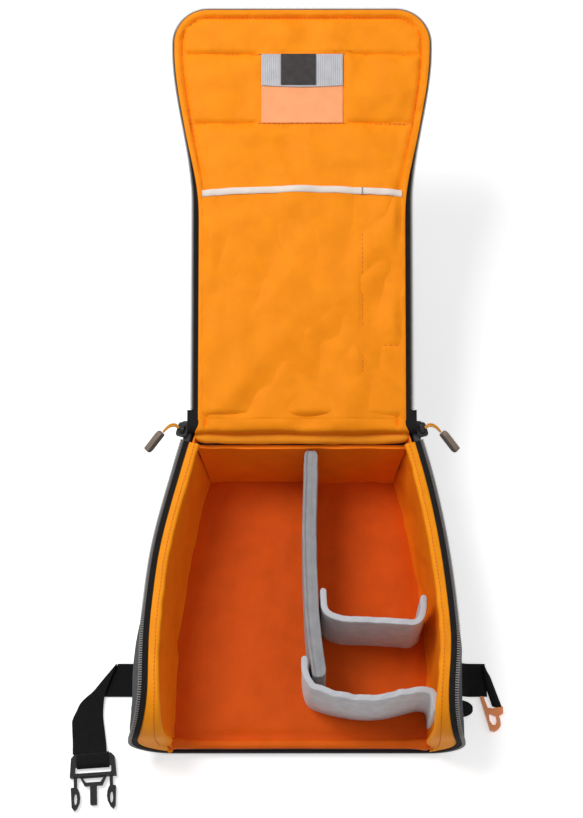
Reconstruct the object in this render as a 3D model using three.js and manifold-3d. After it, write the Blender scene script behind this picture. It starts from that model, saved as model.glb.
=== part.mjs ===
// A soft padded carrying case, lying on its back with its front door thrown open.
// Millimetres, +X to the right, +Y from the open end to the hinge, +Z up.
// The origin is the middle of the compartment on the surface that the case lies on.
import * as THREE from "three";
import Module from "manifold-3d";
import { mergeVertices } from "three/addons/utils/BufferGeometryUtils.js";

const wasm = await Module();
wasm.setup();

// Driving dimensions of the body
const BODY_LENGTH = 219.4;
const BODY_DEPTH = 92;
const HINGE_HALF_WIDTH = 87;
const NEAR_HALF_WIDTH = 111.5;
const BELLY = 8;
const WALL_LEAN = 8;
const RIM_CORNER_RADIUS = 35;
const SIDE_CURVE_POWER = 2.5;
const BELLY_POWER = 0.6;

// Cloth, foam and the gap between touching pieces
const GAP = 0.3;
const SHELL_THICK = 1.6;
const FOAM_THICK = 6;
const FLOOR_FOAM_THICK = 5;
const LINING_THICK = 1.2;
const PAD_THICK = 3;
const WEBBING_THICK = 1.8;
const WEBBING_WIDTH = 25;

// Zipper
const TAPE_THICK = 1.2;
const TAPE_WIDTH = 5;
const TAPE_END = 14;
const TOOTH_PITCH = 6;
const TOOTH_LENGTH = 3;
const TOOTH_REACH = 1.6;
const TOOTH_THICK = 1.6;
const STRIP_WIDTH = 7.5;

// Door, with its end flap
const DOOR_SLOPE_DEG = 20;
const DOOR_HALF_WIDTH = 82;
const FLAP_HALF_WIDTH = 97.5;
const FLAP_LENGTH = 91;
const FLAP_CORNER_RADIUS = 27;
const FLARE_START = 165;
const FLARE_LENGTH = 120;
const DOOR_FACE = 3;
const DOOR_FOAM_THICK = 4.3;
const DOOR_SHELL_THICK = 1.3;
const HINGE_SETBACK = 2.3;
const DOOR_EDGE_START = 2;
const FOLD_GAP = 0.8;
const POCKET_THICK = 0.8;
const POCKET_START = 9;
const POCKET_LENGTH = 169;
const POCKET_HALF_WIDTH = 74;
const BINDING_WIDTH = 5;
const BINDING_THICK = 1.6;
const DOOR_CLEARANCE = 0.5;
const CARD_HALF_WIDTH = 30.5;
const CARD_WINDOW_LENGTH = 28;
const CARD_BAND_LENGTH = 26;
const CARD_START = 3;
const CARD_THICK = 0.8;
const LABEL_WIDTH = 26;
const LABEL_OFFSET = -2.6;
const LABEL_THICK = 1;

// Places that several pieces share
const HALF = BODY_LENGTH / 2;
const NEAR_Y = -HALF;
const WALL_BOTTOM = PAD_THICK + GAP;
const FLOOR_FOAM_Z = WALL_BOTTOM + SHELL_THICK + GAP;
const FLOOR_LINING_Z = FLOOR_FOAM_Z + FLOOR_FOAM_THICK + GAP;
const FLOOR_Z = FLOOR_LINING_Z + LINING_THICK;
const TAPE_Z = BODY_DEPTH + GAP;
const TAPE_TOP = TAPE_Z + TAPE_THICK;
const DOOR_REACH = DOOR_FACE + GAP + BINDING_THICK;
const HINGE_Y = HALF + HINGE_SETBACK;
const HINGE_Z = TAPE_TOP + DOOR_CLEARANCE + DOOR_REACH;
const FRONT_LENGTH = HINGE_Y + HALF + GAP + TAPE_THICK + DOOR_CLEARANCE;
const DOOR_LENGTH = FRONT_LENGTH + FLAP_LENGTH;

const CLOTH_ROUGH = 0.85;
const material = (color, roughness = CLOTH_ROUGH, metalness = 0) =>
  new THREE.MeshStandardMaterial({ color, roughness, metalness });
const ORANGE = material(0xf08a28);
const DEEP_ORANGE = material(0xb8500f);
const GREY_CLOTH = material(0x5a5c5f);
const BLACK_CLOTH = material(0x2d292a);
const FOAM = material(0x3c3c3e, 0.95);
const DIVIDER_GREY = material(0xb9babd);
const DIVIDER_DARK = material(0x8a8a8a);
const BEIGE = material(0xe8dfd2);
const MESH_GREY = material(0xa5a5aa);
const WINDOW = material(0xf8a070, 0.3);
const BLACK_PLASTIC = material(0x1b1b1c, 0.4);
const ORANGE_PLASTIC = material(0xf08246, 0.35);
const ORANGE_CORD = material(0xf7963c, 0.7);
const GRIP_RUBBER = material(0x645a52, 0.6);

const part = new THREE.Group();
const door = new THREE.Group();
door.position.set(0, HINGE_Y, HINGE_Z);
door.rotation.x = THREE.MathUtils.degToRad(DOOR_SLOPE_DEG);
part.add(door);

function addPiece(name, geometry, look, parent = part) {
  const piece = new THREE.Mesh(geometry, look);
  piece.name = name;
  parent.add(piece);
}

// Closed geometry to a solid, and back
function toSolid(geometry) {
  const loose = geometry.index ? geometry.toNonIndexed() : geometry.clone();
  const bare = new THREE.BufferGeometry();
  bare.setAttribute("position", loose.getAttribute("position"));
  const merged = mergeVertices(bare, 1e-4);
  return new wasm.Manifold(new wasm.Mesh({
    numProp: 3,
    vertProperties: new Float32Array(merged.attributes.position.array),
    triVerts: new Uint32Array(merged.index.array),
  }));
}

function fromSolid(solid) {
  const { vertProperties, triVerts } = solid.getMesh();
  const geometry = new THREE.BufferGeometry();
  geometry.setAttribute("position", new THREE.BufferAttribute(vertProperties, 3));
  geometry.setIndex(new THREE.BufferAttribute(triVerts, 1));
  return geometry;
}

const joined = (geometries) => fromSolid(wasm.Manifold.union(geometries.map(toSolid)));

// The solid between two sheets of points, each a grid of rows
function sheetSolid(front, back) {
  const rows = front.length;
  const columns = front[0].length;
  const points = [...front.flat(), ...back.flat()];
  const at = (side, i, j) => side * rows * columns + i * columns + j;
  const index = [];
  const quad = (a, b, c, d) => index.push(a, b, c, a, c, d);
  for (let i = 0; i + 1 < rows; i++) {
    for (let j = 0; j + 1 < columns; j++) {
      quad(at(0, i, j), at(0, i + 1, j), at(0, i + 1, j + 1), at(0, i, j + 1));
      quad(at(1, i, j), at(1, i, j + 1), at(1, i + 1, j + 1), at(1, i + 1, j));
    }
    quad(at(0, i, 0), at(1, i, 0), at(1, i + 1, 0), at(0, i + 1, 0));
    const last = columns - 1;
    quad(at(0, i, last), at(0, i + 1, last), at(1, i + 1, last), at(1, i, last));
  }
  for (let j = 0; j + 1 < columns; j++) {
    quad(at(0, 0, j), at(0, 0, j + 1), at(1, 0, j + 1), at(1, 0, j));
    const last = rows - 1;
    quad(at(0, last, j), at(1, last, j), at(1, last, j + 1), at(0, last, j + 1));
  }
  let volume = 0;
  for (let k = 0; k < index.length; k += 3) {
    const [a, b, c] = [points[index[k]], points[index[k + 1]], points[index[k + 2]]];
    volume += a.dot(b.clone().cross(c));
  }
  if (volume < 0) {
    for (let k = 0; k < index.length; k += 3) {
      [index[k + 1], index[k + 2]] = [index[k + 2], index[k + 1]];
    }
  }
  const geometry = new THREE.BufferGeometry();
  geometry.setFromPoints(points);
  geometry.setIndex(index);
  return geometry;
}

const extruded = (shape, depth, z = 0, curveSegments = 8) =>
  new THREE.ExtrudeGeometry(shape, { depth, bevelEnabled: false, curveSegments })
    .translate(0, 0, z);

// A profile drawn in Y and Z, extruded along X about the middle
function acrossX(shape, halfLength, curveSegments = 6) {
  const geometry = new THREE.ExtrudeGeometry(shape, {
    depth: 2 * halfLength, bevelEnabled: false, curveSegments,
  });
  geometry.translate(0, 0, -halfLength);
  const turn = new THREE.Matrix4().makeBasis(
    new THREE.Vector3(0, 1, 0), new THREE.Vector3(0, 0, 1), new THREE.Vector3(1, 0, 0));
  return geometry.applyMatrix4(turn);
}

function roundedRect(x0, y0, x1, y1, radius) {
  const shape = new THREE.Shape();
  shape.moveTo(x0 + radius, y0);
  shape.lineTo(x1 - radius, y0);
  shape.absarc(x1 - radius, y0 + radius, radius, -Math.PI / 2, 0);
  shape.lineTo(x1, y1 - radius);
  shape.absarc(x1 - radius, y1 - radius, radius, 0, Math.PI / 2);
  shape.lineTo(x0 + radius, y1);
  shape.absarc(x0 + radius, y1 - radius, radius, Math.PI / 2, Math.PI);
  shape.lineTo(x0, y0 + radius);
  shape.absarc(x0 + radius, y0 + radius, radius, Math.PI, 1.5 * Math.PI);
  return shape;
}

const boxBetween = (x0, x1, y0, y1, z0, z1) =>
  new THREE.BoxGeometry(x1 - x0, y1 - y0, z1 - z0)
    .translate((x0 + x1) / 2, (y0 + y1) / 2, (z0 + z1) / 2);

// Plan of the body: the rim swells from the hinge to the open end
function rimHalfWidth(y) {
  const share = THREE.MathUtils.clamp((HALF - y) / BODY_LENGTH, 0, 1);
  const swell = 1 - (1 - share) ** SIDE_CURVE_POWER;
  return HINGE_HALF_WIDTH + (NEAR_HALF_WIDTH - HINGE_HALF_WIDTH) * swell;
}

function outerX(y, z) {
  const share = THREE.MathUtils.clamp(z / BODY_DEPTH, 0, 1);
  const along = THREE.MathUtils.clamp((HALF - y) / BODY_LENGTH, 0, 1);
  return rimHalfWidth(y) + BELLY * along ** BELLY_POWER * Math.sin(Math.PI * share ** BELLY_POWER);
}

const WALL_THICK = SHELL_THICK + FOAM_THICK + LINING_THICK + 2 * GAP;

const innerX = (y, z) =>
  rimHalfWidth(y) - WALL_THICK - WALL_LEAN * (1 - THREE.MathUtils.clamp(z / BODY_DEPTH, 0, 1));

// Stations along the rim: straight from the hinge, then round the near corner
function rimStations() {
  const stations = [];
  const straightSteps = 9;
  const cornerSteps = 5;
  const straightEnd = NEAR_Y + RIM_CORNER_RADIUS;
  for (let i = 0; i < straightSteps; i++) {
    const y = HALF + (straightEnd - HALF) * i / straightSteps;
    stations.push({ y, z: BODY_DEPTH, turn: 0 });
  }
  for (let i = 0; i <= cornerSteps; i++) {
    const turn = Math.PI / 2 * i / cornerSteps;
    stations.push({
      y: straightEnd - RIM_CORNER_RADIUS * Math.sin(turn),
      z: BODY_DEPTH - RIM_CORNER_RADIUS * (1 - Math.cos(turn)),
      turn,
    });
  }
  return stations;
}
const RIM = rimStations();

// Rows of a wall from the bottom to the rim, closer together where the belly turns
const WALL_ROW_SHARES = [0, 0.12, 0.35, 0.66, 1];
const wallRows = (top) => WALL_ROW_SHARES.map((share) => WALL_BOTTOM + (top - WALL_BOTTOM) * share);

// One layer of a side wall between two surfaces x(y, z)
function wallLayer(side, outside, inside) {
  const sheet = (surface) => RIM.map(({ y, z: top }) =>
    wallRows(top).map((z) => new THREE.Vector3(side * surface(y, z), y, z)));
  return sheetSolid(sheet(outside), sheet(inside));
}

// Where the faceted outside of a wall lies at a low height z, for what is sewn to it
function seatX(y, z) {
  const rows = wallRows(BODY_DEPTH);
  const j = Math.max(0, rows.findIndex((row) => row > z) - 1);
  const share = (z - rows[j]) / (rows[j + 1] - rows[j]);
  return THREE.MathUtils.lerp(outerX(y, rows[j]), outerX(y, rows[j + 1]), share) + GAP;
}

// A flat band that lies on the rim and runs down the near end of the wall
function rimBand(side, fromEdge, width, thick, startY) {
  const stations = [
    { y: startY, z: BODY_DEPTH, turn: 0 },
    ...RIM.filter(({ y }) => y < startY),
    { y: NEAR_Y, z: (BODY_DEPTH - RIM_CORNER_RADIUS + TAPE_END) / 2, turn: Math.PI / 2 },
    { y: NEAR_Y, z: TAPE_END, turn: Math.PI / 2 },
  ];
  const sheet = (lift) => stations.map(({ y, z, turn }) => {
    const edge = side * (outerX(y, z) - fromEdge);
    const dy = -Math.sin(turn) * lift;
    const dz = Math.cos(turn) * lift;
    return [
      new THREE.Vector3(edge, y + dy, z + dz),
      new THREE.Vector3(edge - side * width, y + dy, z + dz),
    ];
  });
  return sheetSolid(sheet(GAP + thick), sheet(GAP));
}

// Teeth along the outer edge of the tape on one side of the rim
function rimTeeth(side, startY) {
  const straight = startY - (NEAR_Y + RIM_CORNER_RADIUS);
  const bend = RIM_CORNER_RADIUS * Math.PI / 2;
  const drop = BODY_DEPTH - RIM_CORNER_RADIUS - TAPE_END;
  const teeth = [];
  for (let s = TOOTH_PITCH / 2; s < straight + bend + drop - TOOTH_LENGTH; s += TOOTH_PITCH) {
    const turn = THREE.MathUtils.clamp((s - straight) / RIM_CORNER_RADIUS, 0, Math.PI / 2);
    const y = s < straight ? startY - s : NEAR_Y + RIM_CORNER_RADIUS * (1 - Math.sin(turn));
    const past = Math.max(0, s - straight - bend);
    const z = BODY_DEPTH - RIM_CORNER_RADIUS * (1 - Math.cos(turn)) - past;
    const lift = GAP + TAPE_THICK / 2;
    const tooth = new THREE.BoxGeometry(2 * TOOTH_REACH, TOOTH_LENGTH, TOOTH_THICK);
    tooth.rotateX(turn);
    tooth.translate(side * outerX(y, z), y - Math.sin(turn) * lift, z + Math.cos(turn) * lift);
    teeth.push(tooth);
  }
  return teeth;
}

function sideWalls() {
  const tapeStart = HALF + SLIDER_LENGTH / 2;
  const stripStart = HALF - TOOTH_LENGTH;
  for (const [word, side] of [["left", -1], ["right", 1]]) {
    addPiece(`side_wall_${word}_shell`,
      wallLayer(side, outerX, (y, z) => outerX(y, z) - SHELL_THICK), GREY_CLOTH);
    addPiece(`side_wall_${word}_foam`,
      wallLayer(side, (y, z) => outerX(y, z) - SHELL_THICK - GAP,
        (y, z) => innerX(y, z) + LINING_THICK + GAP), FOAM);
    addPiece(`side_wall_${word}_lining`,
      wallLayer(side, (y, z) => innerX(y, z) + LINING_THICK, innerX), DEEP_ORANGE);
    addPiece(`zip_tape_body_${word}`,
      joined([rimBand(side, 0, TAPE_WIDTH, TAPE_THICK, tapeStart), ...rimTeeth(side, tapeStart)]),
      BLACK_CLOTH);
    addPiece(`rim_strip_${word}`,
      rimBand(side, TAPE_WIDTH + GAP, STRIP_WIDTH, TAPE_THICK, stripStart), ORANGE);
  }
}

// A plan outline between the side walls, at the height z, from nearY to farY
function planShape(z, clearance, nearY, farY) {
  const ys = [farY, ...RIM.map(({ y }) => y).filter((y) => y > nearY && y < farY), nearY];
  const shape = new THREE.Shape();
  shape.moveTo(-innerX(farY, z) + clearance, farY);
  for (const y of ys.slice(1)) shape.lineTo(-innerX(y, z) + clearance, y);
  for (const y of ys.slice().reverse()) shape.lineTo(innerX(y, z) - clearance, y);
  return shape;
}

const FAR_WALL_FOAM_THICK = 8;
const FAR_WALL_Y = HALF - FAR_WALL_FOAM_THICK - GAP - LINING_THICK;

function backPanel() {
  addPiece("back_panel_shell",
    extruded(planShape(WALL_BOTTOM, GAP, NEAR_Y, HALF), SHELL_THICK, WALL_BOTTOM), GREY_CLOTH);
  const nearFoam = NEAR_Y + LIP_WIDTH + GAP;
  addPiece("back_panel_foam",
    extruded(planShape(FLOOR_FOAM_Z, GAP, nearFoam, HALF), FLOOR_FOAM_THICK, FLOOR_FOAM_Z), FOAM);
  addPiece("back_panel_lining",
    extruded(planShape(FLOOR_LINING_Z, GAP, nearFoam, FAR_WALL_Y - GAP), LINING_THICK,
      FLOOR_LINING_Z), DEEP_ORANGE);
}

// Three foam pads on the resting side, with channels between them
const PAD_HALF_WIDTH = 72;
const PAD_CHANNEL = 8;
const PAD_CORNER_RADIUS = 12;
const PAD_MARGIN = 10;

function backPads() {
  const words = ["lower", "middle", "upper"];
  const room = BODY_LENGTH - 2 * PAD_MARGIN - (words.length - 1) * PAD_CHANNEL;
  const length = room / words.length;
  words.forEach((word, i) => {
    const y0 = NEAR_Y + PAD_MARGIN + i * (length + PAD_CHANNEL);
    addPiece(`back_pad_${word}`,
      extruded(roundedRect(-PAD_HALF_WIDTH, y0, PAD_HALF_WIDTH, y0 + length, PAD_CORNER_RADIUS),
        PAD_THICK, 0, 4), BLACK_CLOTH);
  });
}

// The low rounded lip at the open end, with its own stretch of tape
const LIP_WIDTH = 7;
const LIP_TOP = 14.5;
const LIP_ROUND = 3;

function nearLip() {
  const halfLength = innerX(NEAR_Y, FLOOR_FOAM_Z) - GAP;
  const profile = roundedRect(NEAR_Y, FLOOR_FOAM_Z, NEAR_Y + LIP_WIDTH, LIP_TOP, LIP_ROUND);
  addPiece("near_lip", acrossX(profile, halfLength, 4), ORANGE);
  const tapeHalf = outerX(NEAR_Y, WALL_BOTTOM);
  const band = boxBetween(-tapeHalf, tapeHalf, NEAR_Y - GAP - TAPE_THICK, NEAR_Y - GAP,
    WALL_BOTTOM, WALL_BOTTOM + TAPE_WIDTH);
  const teeth = [];
  const count = Math.floor((2 * tapeHalf - TOOTH_PITCH) / TOOTH_PITCH);
  for (let i = 0; i < count; i++) {
    const x = (i - (count - 1) / 2) * TOOTH_PITCH;
    const z = WALL_BOTTOM + TAPE_WIDTH;
    teeth.push(new THREE.BoxGeometry(TOOTH_LENGTH, TOOTH_THICK, 2 * TOOTH_REACH)
      .translate(x, NEAR_Y - GAP - TAPE_THICK / 2, z));
  }
  addPiece("zip_tape_body_near", joined([band, ...teeth]), BLACK_CLOTH);
}

// The wall at the hinge, the soft roll above it and the cloth that the door turns on
const ROLL_RADIUS = 5;
const ROLL_SAG = 3;
const BAND_WIDTH = 10;
const HINGE_BAND_MARGIN = 7;

function farWall() {
  const half = (z) => innerX(HALF, z) - GAP;
  const bottom = FLOOR_LINING_Z;
  const wallTop = BODY_DEPTH - 2 * ROLL_RADIUS - ROLL_SAG - GAP;
  const shape = (top) => {
    const outline = new THREE.Shape();
    outline.moveTo(-half(bottom), bottom);
    outline.lineTo(half(bottom), bottom);
    outline.lineTo(half(top), top);
    outline.lineTo(-half(top), top);
    return outline;
  };
  const upright = (outline, y, thick) =>
    new THREE.ExtrudeGeometry(outline, { depth: thick, bevelEnabled: false })
      .rotateX(Math.PI / 2).translate(0, y + thick, 0);
  addPiece("far_wall_foam",
    upright(shape(wallTop), HALF - FAR_WALL_FOAM_THICK, FAR_WALL_FOAM_THICK), FOAM);
  addPiece("far_wall_lining", upright(shape(wallTop), FAR_WALL_Y, LINING_THICK), DEEP_ORANGE);
  const rows = [];
  const steps = 16;
  const rollHalf = half(BODY_DEPTH) - GAP;
  const ring = (x, scale) => {
    const points = [];
    for (let i = 0; i < 10; i++) {
      const angle = 2 * Math.PI * i / 10;
      points.push([
        HALF - GAP - ROLL_RADIUS + scale * ROLL_RADIUS * Math.cos(angle),
        BODY_DEPTH - ROLL_RADIUS - ROLL_SAG * (1 - (x / rollHalf) ** 2)
          + scale * ROLL_RADIUS * Math.sin(angle),
      ]);
    }
    return points.map(([y, z]) => new THREE.Vector3(x, y, z));
  };
  for (let i = 0; i <= steps; i++) {
    const x = -rollHalf + 2 * rollHalf * i / steps;
    const near = Math.min(1, (rollHalf - Math.abs(x)) / ROLL_RADIUS);
    rows.push(ring(x, 0.55 + 0.45 * Math.sqrt(near * (2 - near))));
  }
  addPiece("hinge_roll", ringSolid(rows), ORANGE);
  const bead = DOOR_EDGE_START - GAP;
  const web = TAPE_THICK / 2;
  const profile = new THREE.Shape();
  const side = Math.asin(web / bead);
  profile.moveTo(HINGE_Y - BAND_WIDTH, TAPE_Z);
  profile.lineTo(HINGE_Y + web, TAPE_Z);
  profile.absarc(HINGE_Y, HINGE_Z, bead, -Math.PI / 2 + side, 1.5 * Math.PI - side);
  profile.lineTo(HINGE_Y - web, TAPE_TOP);
  profile.lineTo(HINGE_Y - BAND_WIDTH, TAPE_TOP);
  addPiece("hinge_band", acrossX(profile, DOOR_HALF_WIDTH - HINGE_BAND_MARGIN, 6), BLACK_CLOTH);
}

// A tube through closed rings of points, with flat ends
function ringSolid(rings) {
  const count = rings[0].length;
  const index = [];
  for (let i = 0; i + 1 < rings.length; i++) {
    for (let j = 0; j < count; j++) {
      const a = i * count + j;
      const b = i * count + (j + 1) % count;
      index.push(a, b, b + count, a, b + count, a + count);
    }
  }
  const end = (rings.length - 1) * count;
  for (let j = 1; j + 1 < count; j++) {
    index.push(0, j + 1, j, end, end + j, end + j + 1);
  }
  const points = rings.flat();
  let volume = 0;
  for (let k = 0; k < index.length; k += 3) {
    const [a, b, c] = [points[index[k]], points[index[k + 1]], points[index[k + 2]]];
    volume += a.dot(b.clone().cross(c));
  }
  if (volume < 0) index.reverse();
  const geometry = new THREE.BufferGeometry().setFromPoints(points);
  geometry.setIndex(index);
  return geometry;
}

// The closed upper part of the bag behind the door, which narrows to its carrying handle
const UPPER_LENGTH = 166;
const UPPER_HALF_WIDTH = 78;
const UPPER_END_HALF_WIDTH = 60;
const UPPER_STEP = 4.7;
const UPPER_HEIGHT = BODY_DEPTH - UPPER_STEP - WALL_BOTTOM;
const UPPER_END_HEIGHT = 52;
const UPPER_ROUND = 16;
const HANDLE_HALF_SPAN = 32;
const HANDLE_REACH = 26;
const HANDLE_HEIGHT = 22;
const HANDLE_Z = 14;

function upperSection() {
  const start = HALF + GAP;
  const steps = 6;
  const rings = [];
  const outline = roundedRect(-1, 0, 1, 1, 0.24);
  for (let i = 0; i <= steps; i++) {
    const share = i / steps;
    const round = Math.sqrt(Math.max(0, 1 - Math.max(0, (share - 0.8) / 0.2) ** 2 * 0.3));
    const halfWidth = THREE.MathUtils.lerp(UPPER_HALF_WIDTH, UPPER_END_HALF_WIDTH, share) * round;
    const height = THREE.MathUtils.lerp(UPPER_HEIGHT, UPPER_END_HEIGHT, share) * round;
    const y = start + UPPER_LENGTH * share;
    rings.push(outline.getPoints(3).slice(0, -1).map((p) =>
      new THREE.Vector3(p.x * halfWidth, y, PAD_THICK + GAP + p.y * height)));
  }
  addPiece("upper_section", ringSolid(rings), GREY_CLOTH);
  addPiece("upper_pad", extruded(
    roundedRect(-UPPER_END_HALF_WIDTH + UPPER_ROUND, start + UPPER_ROUND,
      UPPER_END_HALF_WIDTH - UPPER_ROUND, start + UPPER_LENGTH - UPPER_ROUND, PAD_CORNER_RADIUS),
    PAD_THICK, 0, 4), BLACK_CLOTH);
  const band = new THREE.Shape();
  band.absellipse(0, 0, HANDLE_HALF_SPAN, HANDLE_REACH, 0, Math.PI);
  band.lineTo(-HANDLE_HALF_SPAN + WEBBING_THICK, 0);
  band.absellipse(0, 0, HANDLE_HALF_SPAN - WEBBING_THICK, HANDLE_REACH - WEBBING_THICK,
    Math.PI, 0, true);
  addPiece("haul_handle",
    extruded(band, HANDLE_HEIGHT, HANDLE_Z, 14).translate(0, start + UPPER_LENGTH + GAP, 0),
    BLACK_CLOTH);
}

// Half width of the door at a distance t from the hinge
function doorHalfWidth(t) {
  const share = THREE.MathUtils.clamp((t - FLARE_START) / FLARE_LENGTH, 0, 1);
  return DOOR_HALF_WIDTH + (FLAP_HALF_WIDTH - DOOR_HALF_WIDTH) * share * share * (3 - 2 * share);
}

// Right edge of a panel of the door from t0 to t1, drawn in by inset; the flap ends round
function panelEdge(t0, t1, inset, roundEnd) {
  const points = [];
  const radius = FLAP_CORNER_RADIUS - inset;
  const sideEnd = roundEnd ? t1 - inset - radius : t1;
  const steps = Math.max(4, Math.round((sideEnd - t0) / FLAP_CORNER_RADIUS * 2));
  for (let i = 0; i <= steps; i++) {
    const t = t0 + (sideEnd - t0) * i / steps;
    points.push(new THREE.Vector2(doorHalfWidth(t) - inset, t));
  }
  if (roundEnd) {
    const cx = doorHalfWidth(sideEnd) - inset - radius;
    for (let i = 1; i <= 6; i++) {
      const angle = Math.PI / 2 * i / 6;
      points.push(new THREE.Vector2(cx + radius * Math.cos(angle), sideEnd + radius * Math.sin(angle)));
    }
  }
  return points;
}

function panelShape(t0, t1, inset, roundEnd) {
  const right = panelEdge(t0, t1, inset, roundEnd);
  const left = right.map((p) => new THREE.Vector2(-p.x, p.y)).reverse();
  return new THREE.Shape([...right, ...left]);
}

// A tape along an edge, with teeth standing out from it
function toothedTape(edge, closedRing) {
  const path = new THREE.CurvePath();
  for (let i = 0; i + 1 < edge.length; i++) path.add(new THREE.LineCurve(edge[i], edge[i + 1]));
  const total = path.getLength();
  const count = Math.floor((total - TOOTH_PITCH) / TOOTH_PITCH);
  const outer = [];
  const inner = [];
  const place = (s, out) => {
    const u = THREE.MathUtils.clamp(s / total, 0, 1);
    const p = path.getPointAt(u);
    const tangent = path.getTangentAt(u);
    return new THREE.Vector2(p.x + tangent.y * out, p.y - tangent.x * out);
  };
  outer.push(place(0, 0));
  inner.push(place(0, -TAPE_WIDTH));
  for (let i = 0; i < count; i++) {
    const s = (total - (count - 1) * TOOTH_PITCH) / 2 + i * TOOTH_PITCH;
    outer.push(place(s - TOOTH_LENGTH / 2, 0), place(s - TOOTH_LENGTH / 2, TOOTH_REACH));
    outer.push(place(s + TOOTH_LENGTH / 2, TOOTH_REACH), place(s + TOOTH_LENGTH / 2, 0));
    if (i % closedRing === 0) inner.push(place(s, -TAPE_WIDTH));
  }
  outer.push(place(total, 0));
  inner.push(place(total, -TAPE_WIDTH));
  return new THREE.Shape([...outer, ...inner.reverse()]);
}

function doorLayers() {
  const foamZ = DOOR_FACE - LINING_THICK - GAP - DOOR_FOAM_THICK;
  const shellZ = foamZ - GAP - DOOR_SHELL_THICK;
  const faceZ = DOOR_FACE - LINING_THICK;
  const liningInset = TAPE_WIDTH + 2 * GAP;
  const frontEnd = FRONT_LENGTH - FOLD_GAP;
  const flapStart = FRONT_LENGTH + FOLD_GAP;
  const panels = [["door", DOOR_EDGE_START, frontEnd, false],
    ["flap", flapStart, DOOR_LENGTH, true]];
  for (const [word, t0, t1, round] of panels) {
    addPiece(`${word}_shell`,
      extruded(panelShape(t0, t1, 0, round), DOOR_SHELL_THICK, shellZ), GREY_CLOTH, door);
    addPiece(`${word}_foam`,
      extruded(panelShape(t0, t1, LINING_THICK, round), DOOR_FOAM_THICK, foamZ), FOAM, door);
    addPiece(`${word}_lining`,
      extruded(panelShape(t0, t1, liningInset, round), LINING_THICK, faceZ), ORANGE, door);
  }
  const rightEdge = panelEdge(DOOR_EDGE_START, frontEnd, 0, false);
  const leftEdge = rightEdge.map((p) => new THREE.Vector2(-p.x, p.y)).reverse();
  addPiece("zip_tape_door_right",
    extruded(toothedTape(rightEdge, 4), LINING_THICK, faceZ), BLACK_CLOTH, door);
  addPiece("zip_tape_door_left",
    extruded(toothedTape(leftEdge, 4), LINING_THICK, faceZ), BLACK_CLOTH, door);
  const flapRight = panelEdge(flapStart, DOOR_LENGTH, 0, true);
  const flapLeft = flapRight.map((p) => new THREE.Vector2(-p.x, p.y)).reverse();
  addPiece("zip_tape_flap",
    extruded(toothedTape([...flapRight, ...flapLeft], 1), LINING_THICK, faceZ), BLACK_CLOTH, door);
}

// What is sewn on the inside of the door: a wide pocket, and a card pocket on the flap
function doorPockets() {
  const z = DOOR_FACE + GAP;
  const pocketEnd = POCKET_START + POCKET_LENGTH;
  const pocketTop = pocketEnd - BINDING_WIDTH - GAP;
  addPiece("door_pocket",
    extruded(roundedRect(-POCKET_HALF_WIDTH, POCKET_START, POCKET_HALF_WIDTH, pocketTop,
      POCKET_THICK), POCKET_THICK, z, 1), ORANGE, door);
  addPiece("door_pocket_binding",
    extruded(roundedRect(-POCKET_HALF_WIDTH, pocketTop + GAP, POCKET_HALF_WIDTH, pocketEnd,
      BINDING_THICK), BINDING_THICK, z, 3), BEIGE, door);
  const windowStart = FRONT_LENGTH + CARD_START;
  const bandStart = windowStart + CARD_WINDOW_LENGTH + GAP;
  addPiece("card_window",
    extruded(roundedRect(-CARD_HALF_WIDTH, windowStart, CARD_HALF_WIDTH,
      windowStart + CARD_WINDOW_LENGTH, CARD_THICK), CARD_THICK, z, 1), WINDOW, door);
  addPiece("card_band",
    extruded(roundedRect(-CARD_HALF_WIDTH, bandStart, CARD_HALF_WIDTH,
      bandStart + CARD_BAND_LENGTH, CARD_THICK), CARD_THICK, z, 1), MESH_GREY, door);
  addPiece("card_label",
    extruded(roundedRect(LABEL_OFFSET - LABEL_WIDTH / 2, bandStart + GAP,
      LABEL_OFFSET + LABEL_WIDTH / 2, bandStart + CARD_BAND_LENGTH - GAP, LABEL_THICK),
      LABEL_THICK, z + CARD_THICK + GAP, 2), BLACK_CLOTH, door);
}

// Padded dividers: a curved board of foam, with a hook-and-loop flange at its ends
const DIVIDER_THICK = 5;
const LONG_DIVIDER_THICK = 10;
const DIVIDER_SINK = 16;
const DIVIDER_HEIGHT = BODY_DEPTH - DIVIDER_SINK - FLOOR_Z - GAP;
const DIVIDER_CLEAR = 1;
const LONG_TOP_END_Y = HALF - 2 * ROLL_RADIUS - 4 * GAP;
const LONG_NEAR_ROOM = 36.7;
const LONG_NEAR_Y = NEAR_Y + LONG_NEAR_ROOM;
const LONG_FAR_X = 7;
const LONG_MID_X = 5.5;
const LONG_NEAR_X = 12.7;
const NEAR_BAY_LENGTH = 29.2;
const MIDDLE_BAY_LENGTH = 54;
const LOWER_CROSS_Y = NEAR_Y + NEAR_BAY_LENGTH;
const UPPER_CROSS_Y = LOWER_CROSS_Y + MIDDLE_BAY_LENGTH;
const UPPER_BOW = 1;
const UPPER_FALL = 4.5;
const LOWER_BOW = 4;
const LOWER_FALL = 0.5;
const FLANGE_LENGTH = 20;
const LEFT_FLANGE_LENGTH = 24;
const NEAR_FLANGE_LENGTH = 16;
const FLANGE_ROUND = 8;
const FLANGE_LEAN = 1.7;

// A band of even thickness along a smooth line drawn in plan
function bandShape(points, thick, steps) {
  const curve = new THREE.CatmullRomCurve3(points.map(([x, y]) => new THREE.Vector3(x, y, 0)),
    false, "centripetal");
  const left = [];
  const right = [];
  for (let i = 0; i <= steps; i++) {
    const p = curve.getPointAt(i / steps);
    const t = curve.getTangentAt(i / steps);
    left.push(new THREE.Vector2(p.x - t.y * thick / 2, p.y + t.x * thick / 2));
    right.push(new THREE.Vector2(p.x + t.y * thick / 2, p.y - t.x * thick / 2));
  }
  return new THREE.Shape([...right, ...left.reverse()]);
}

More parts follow.
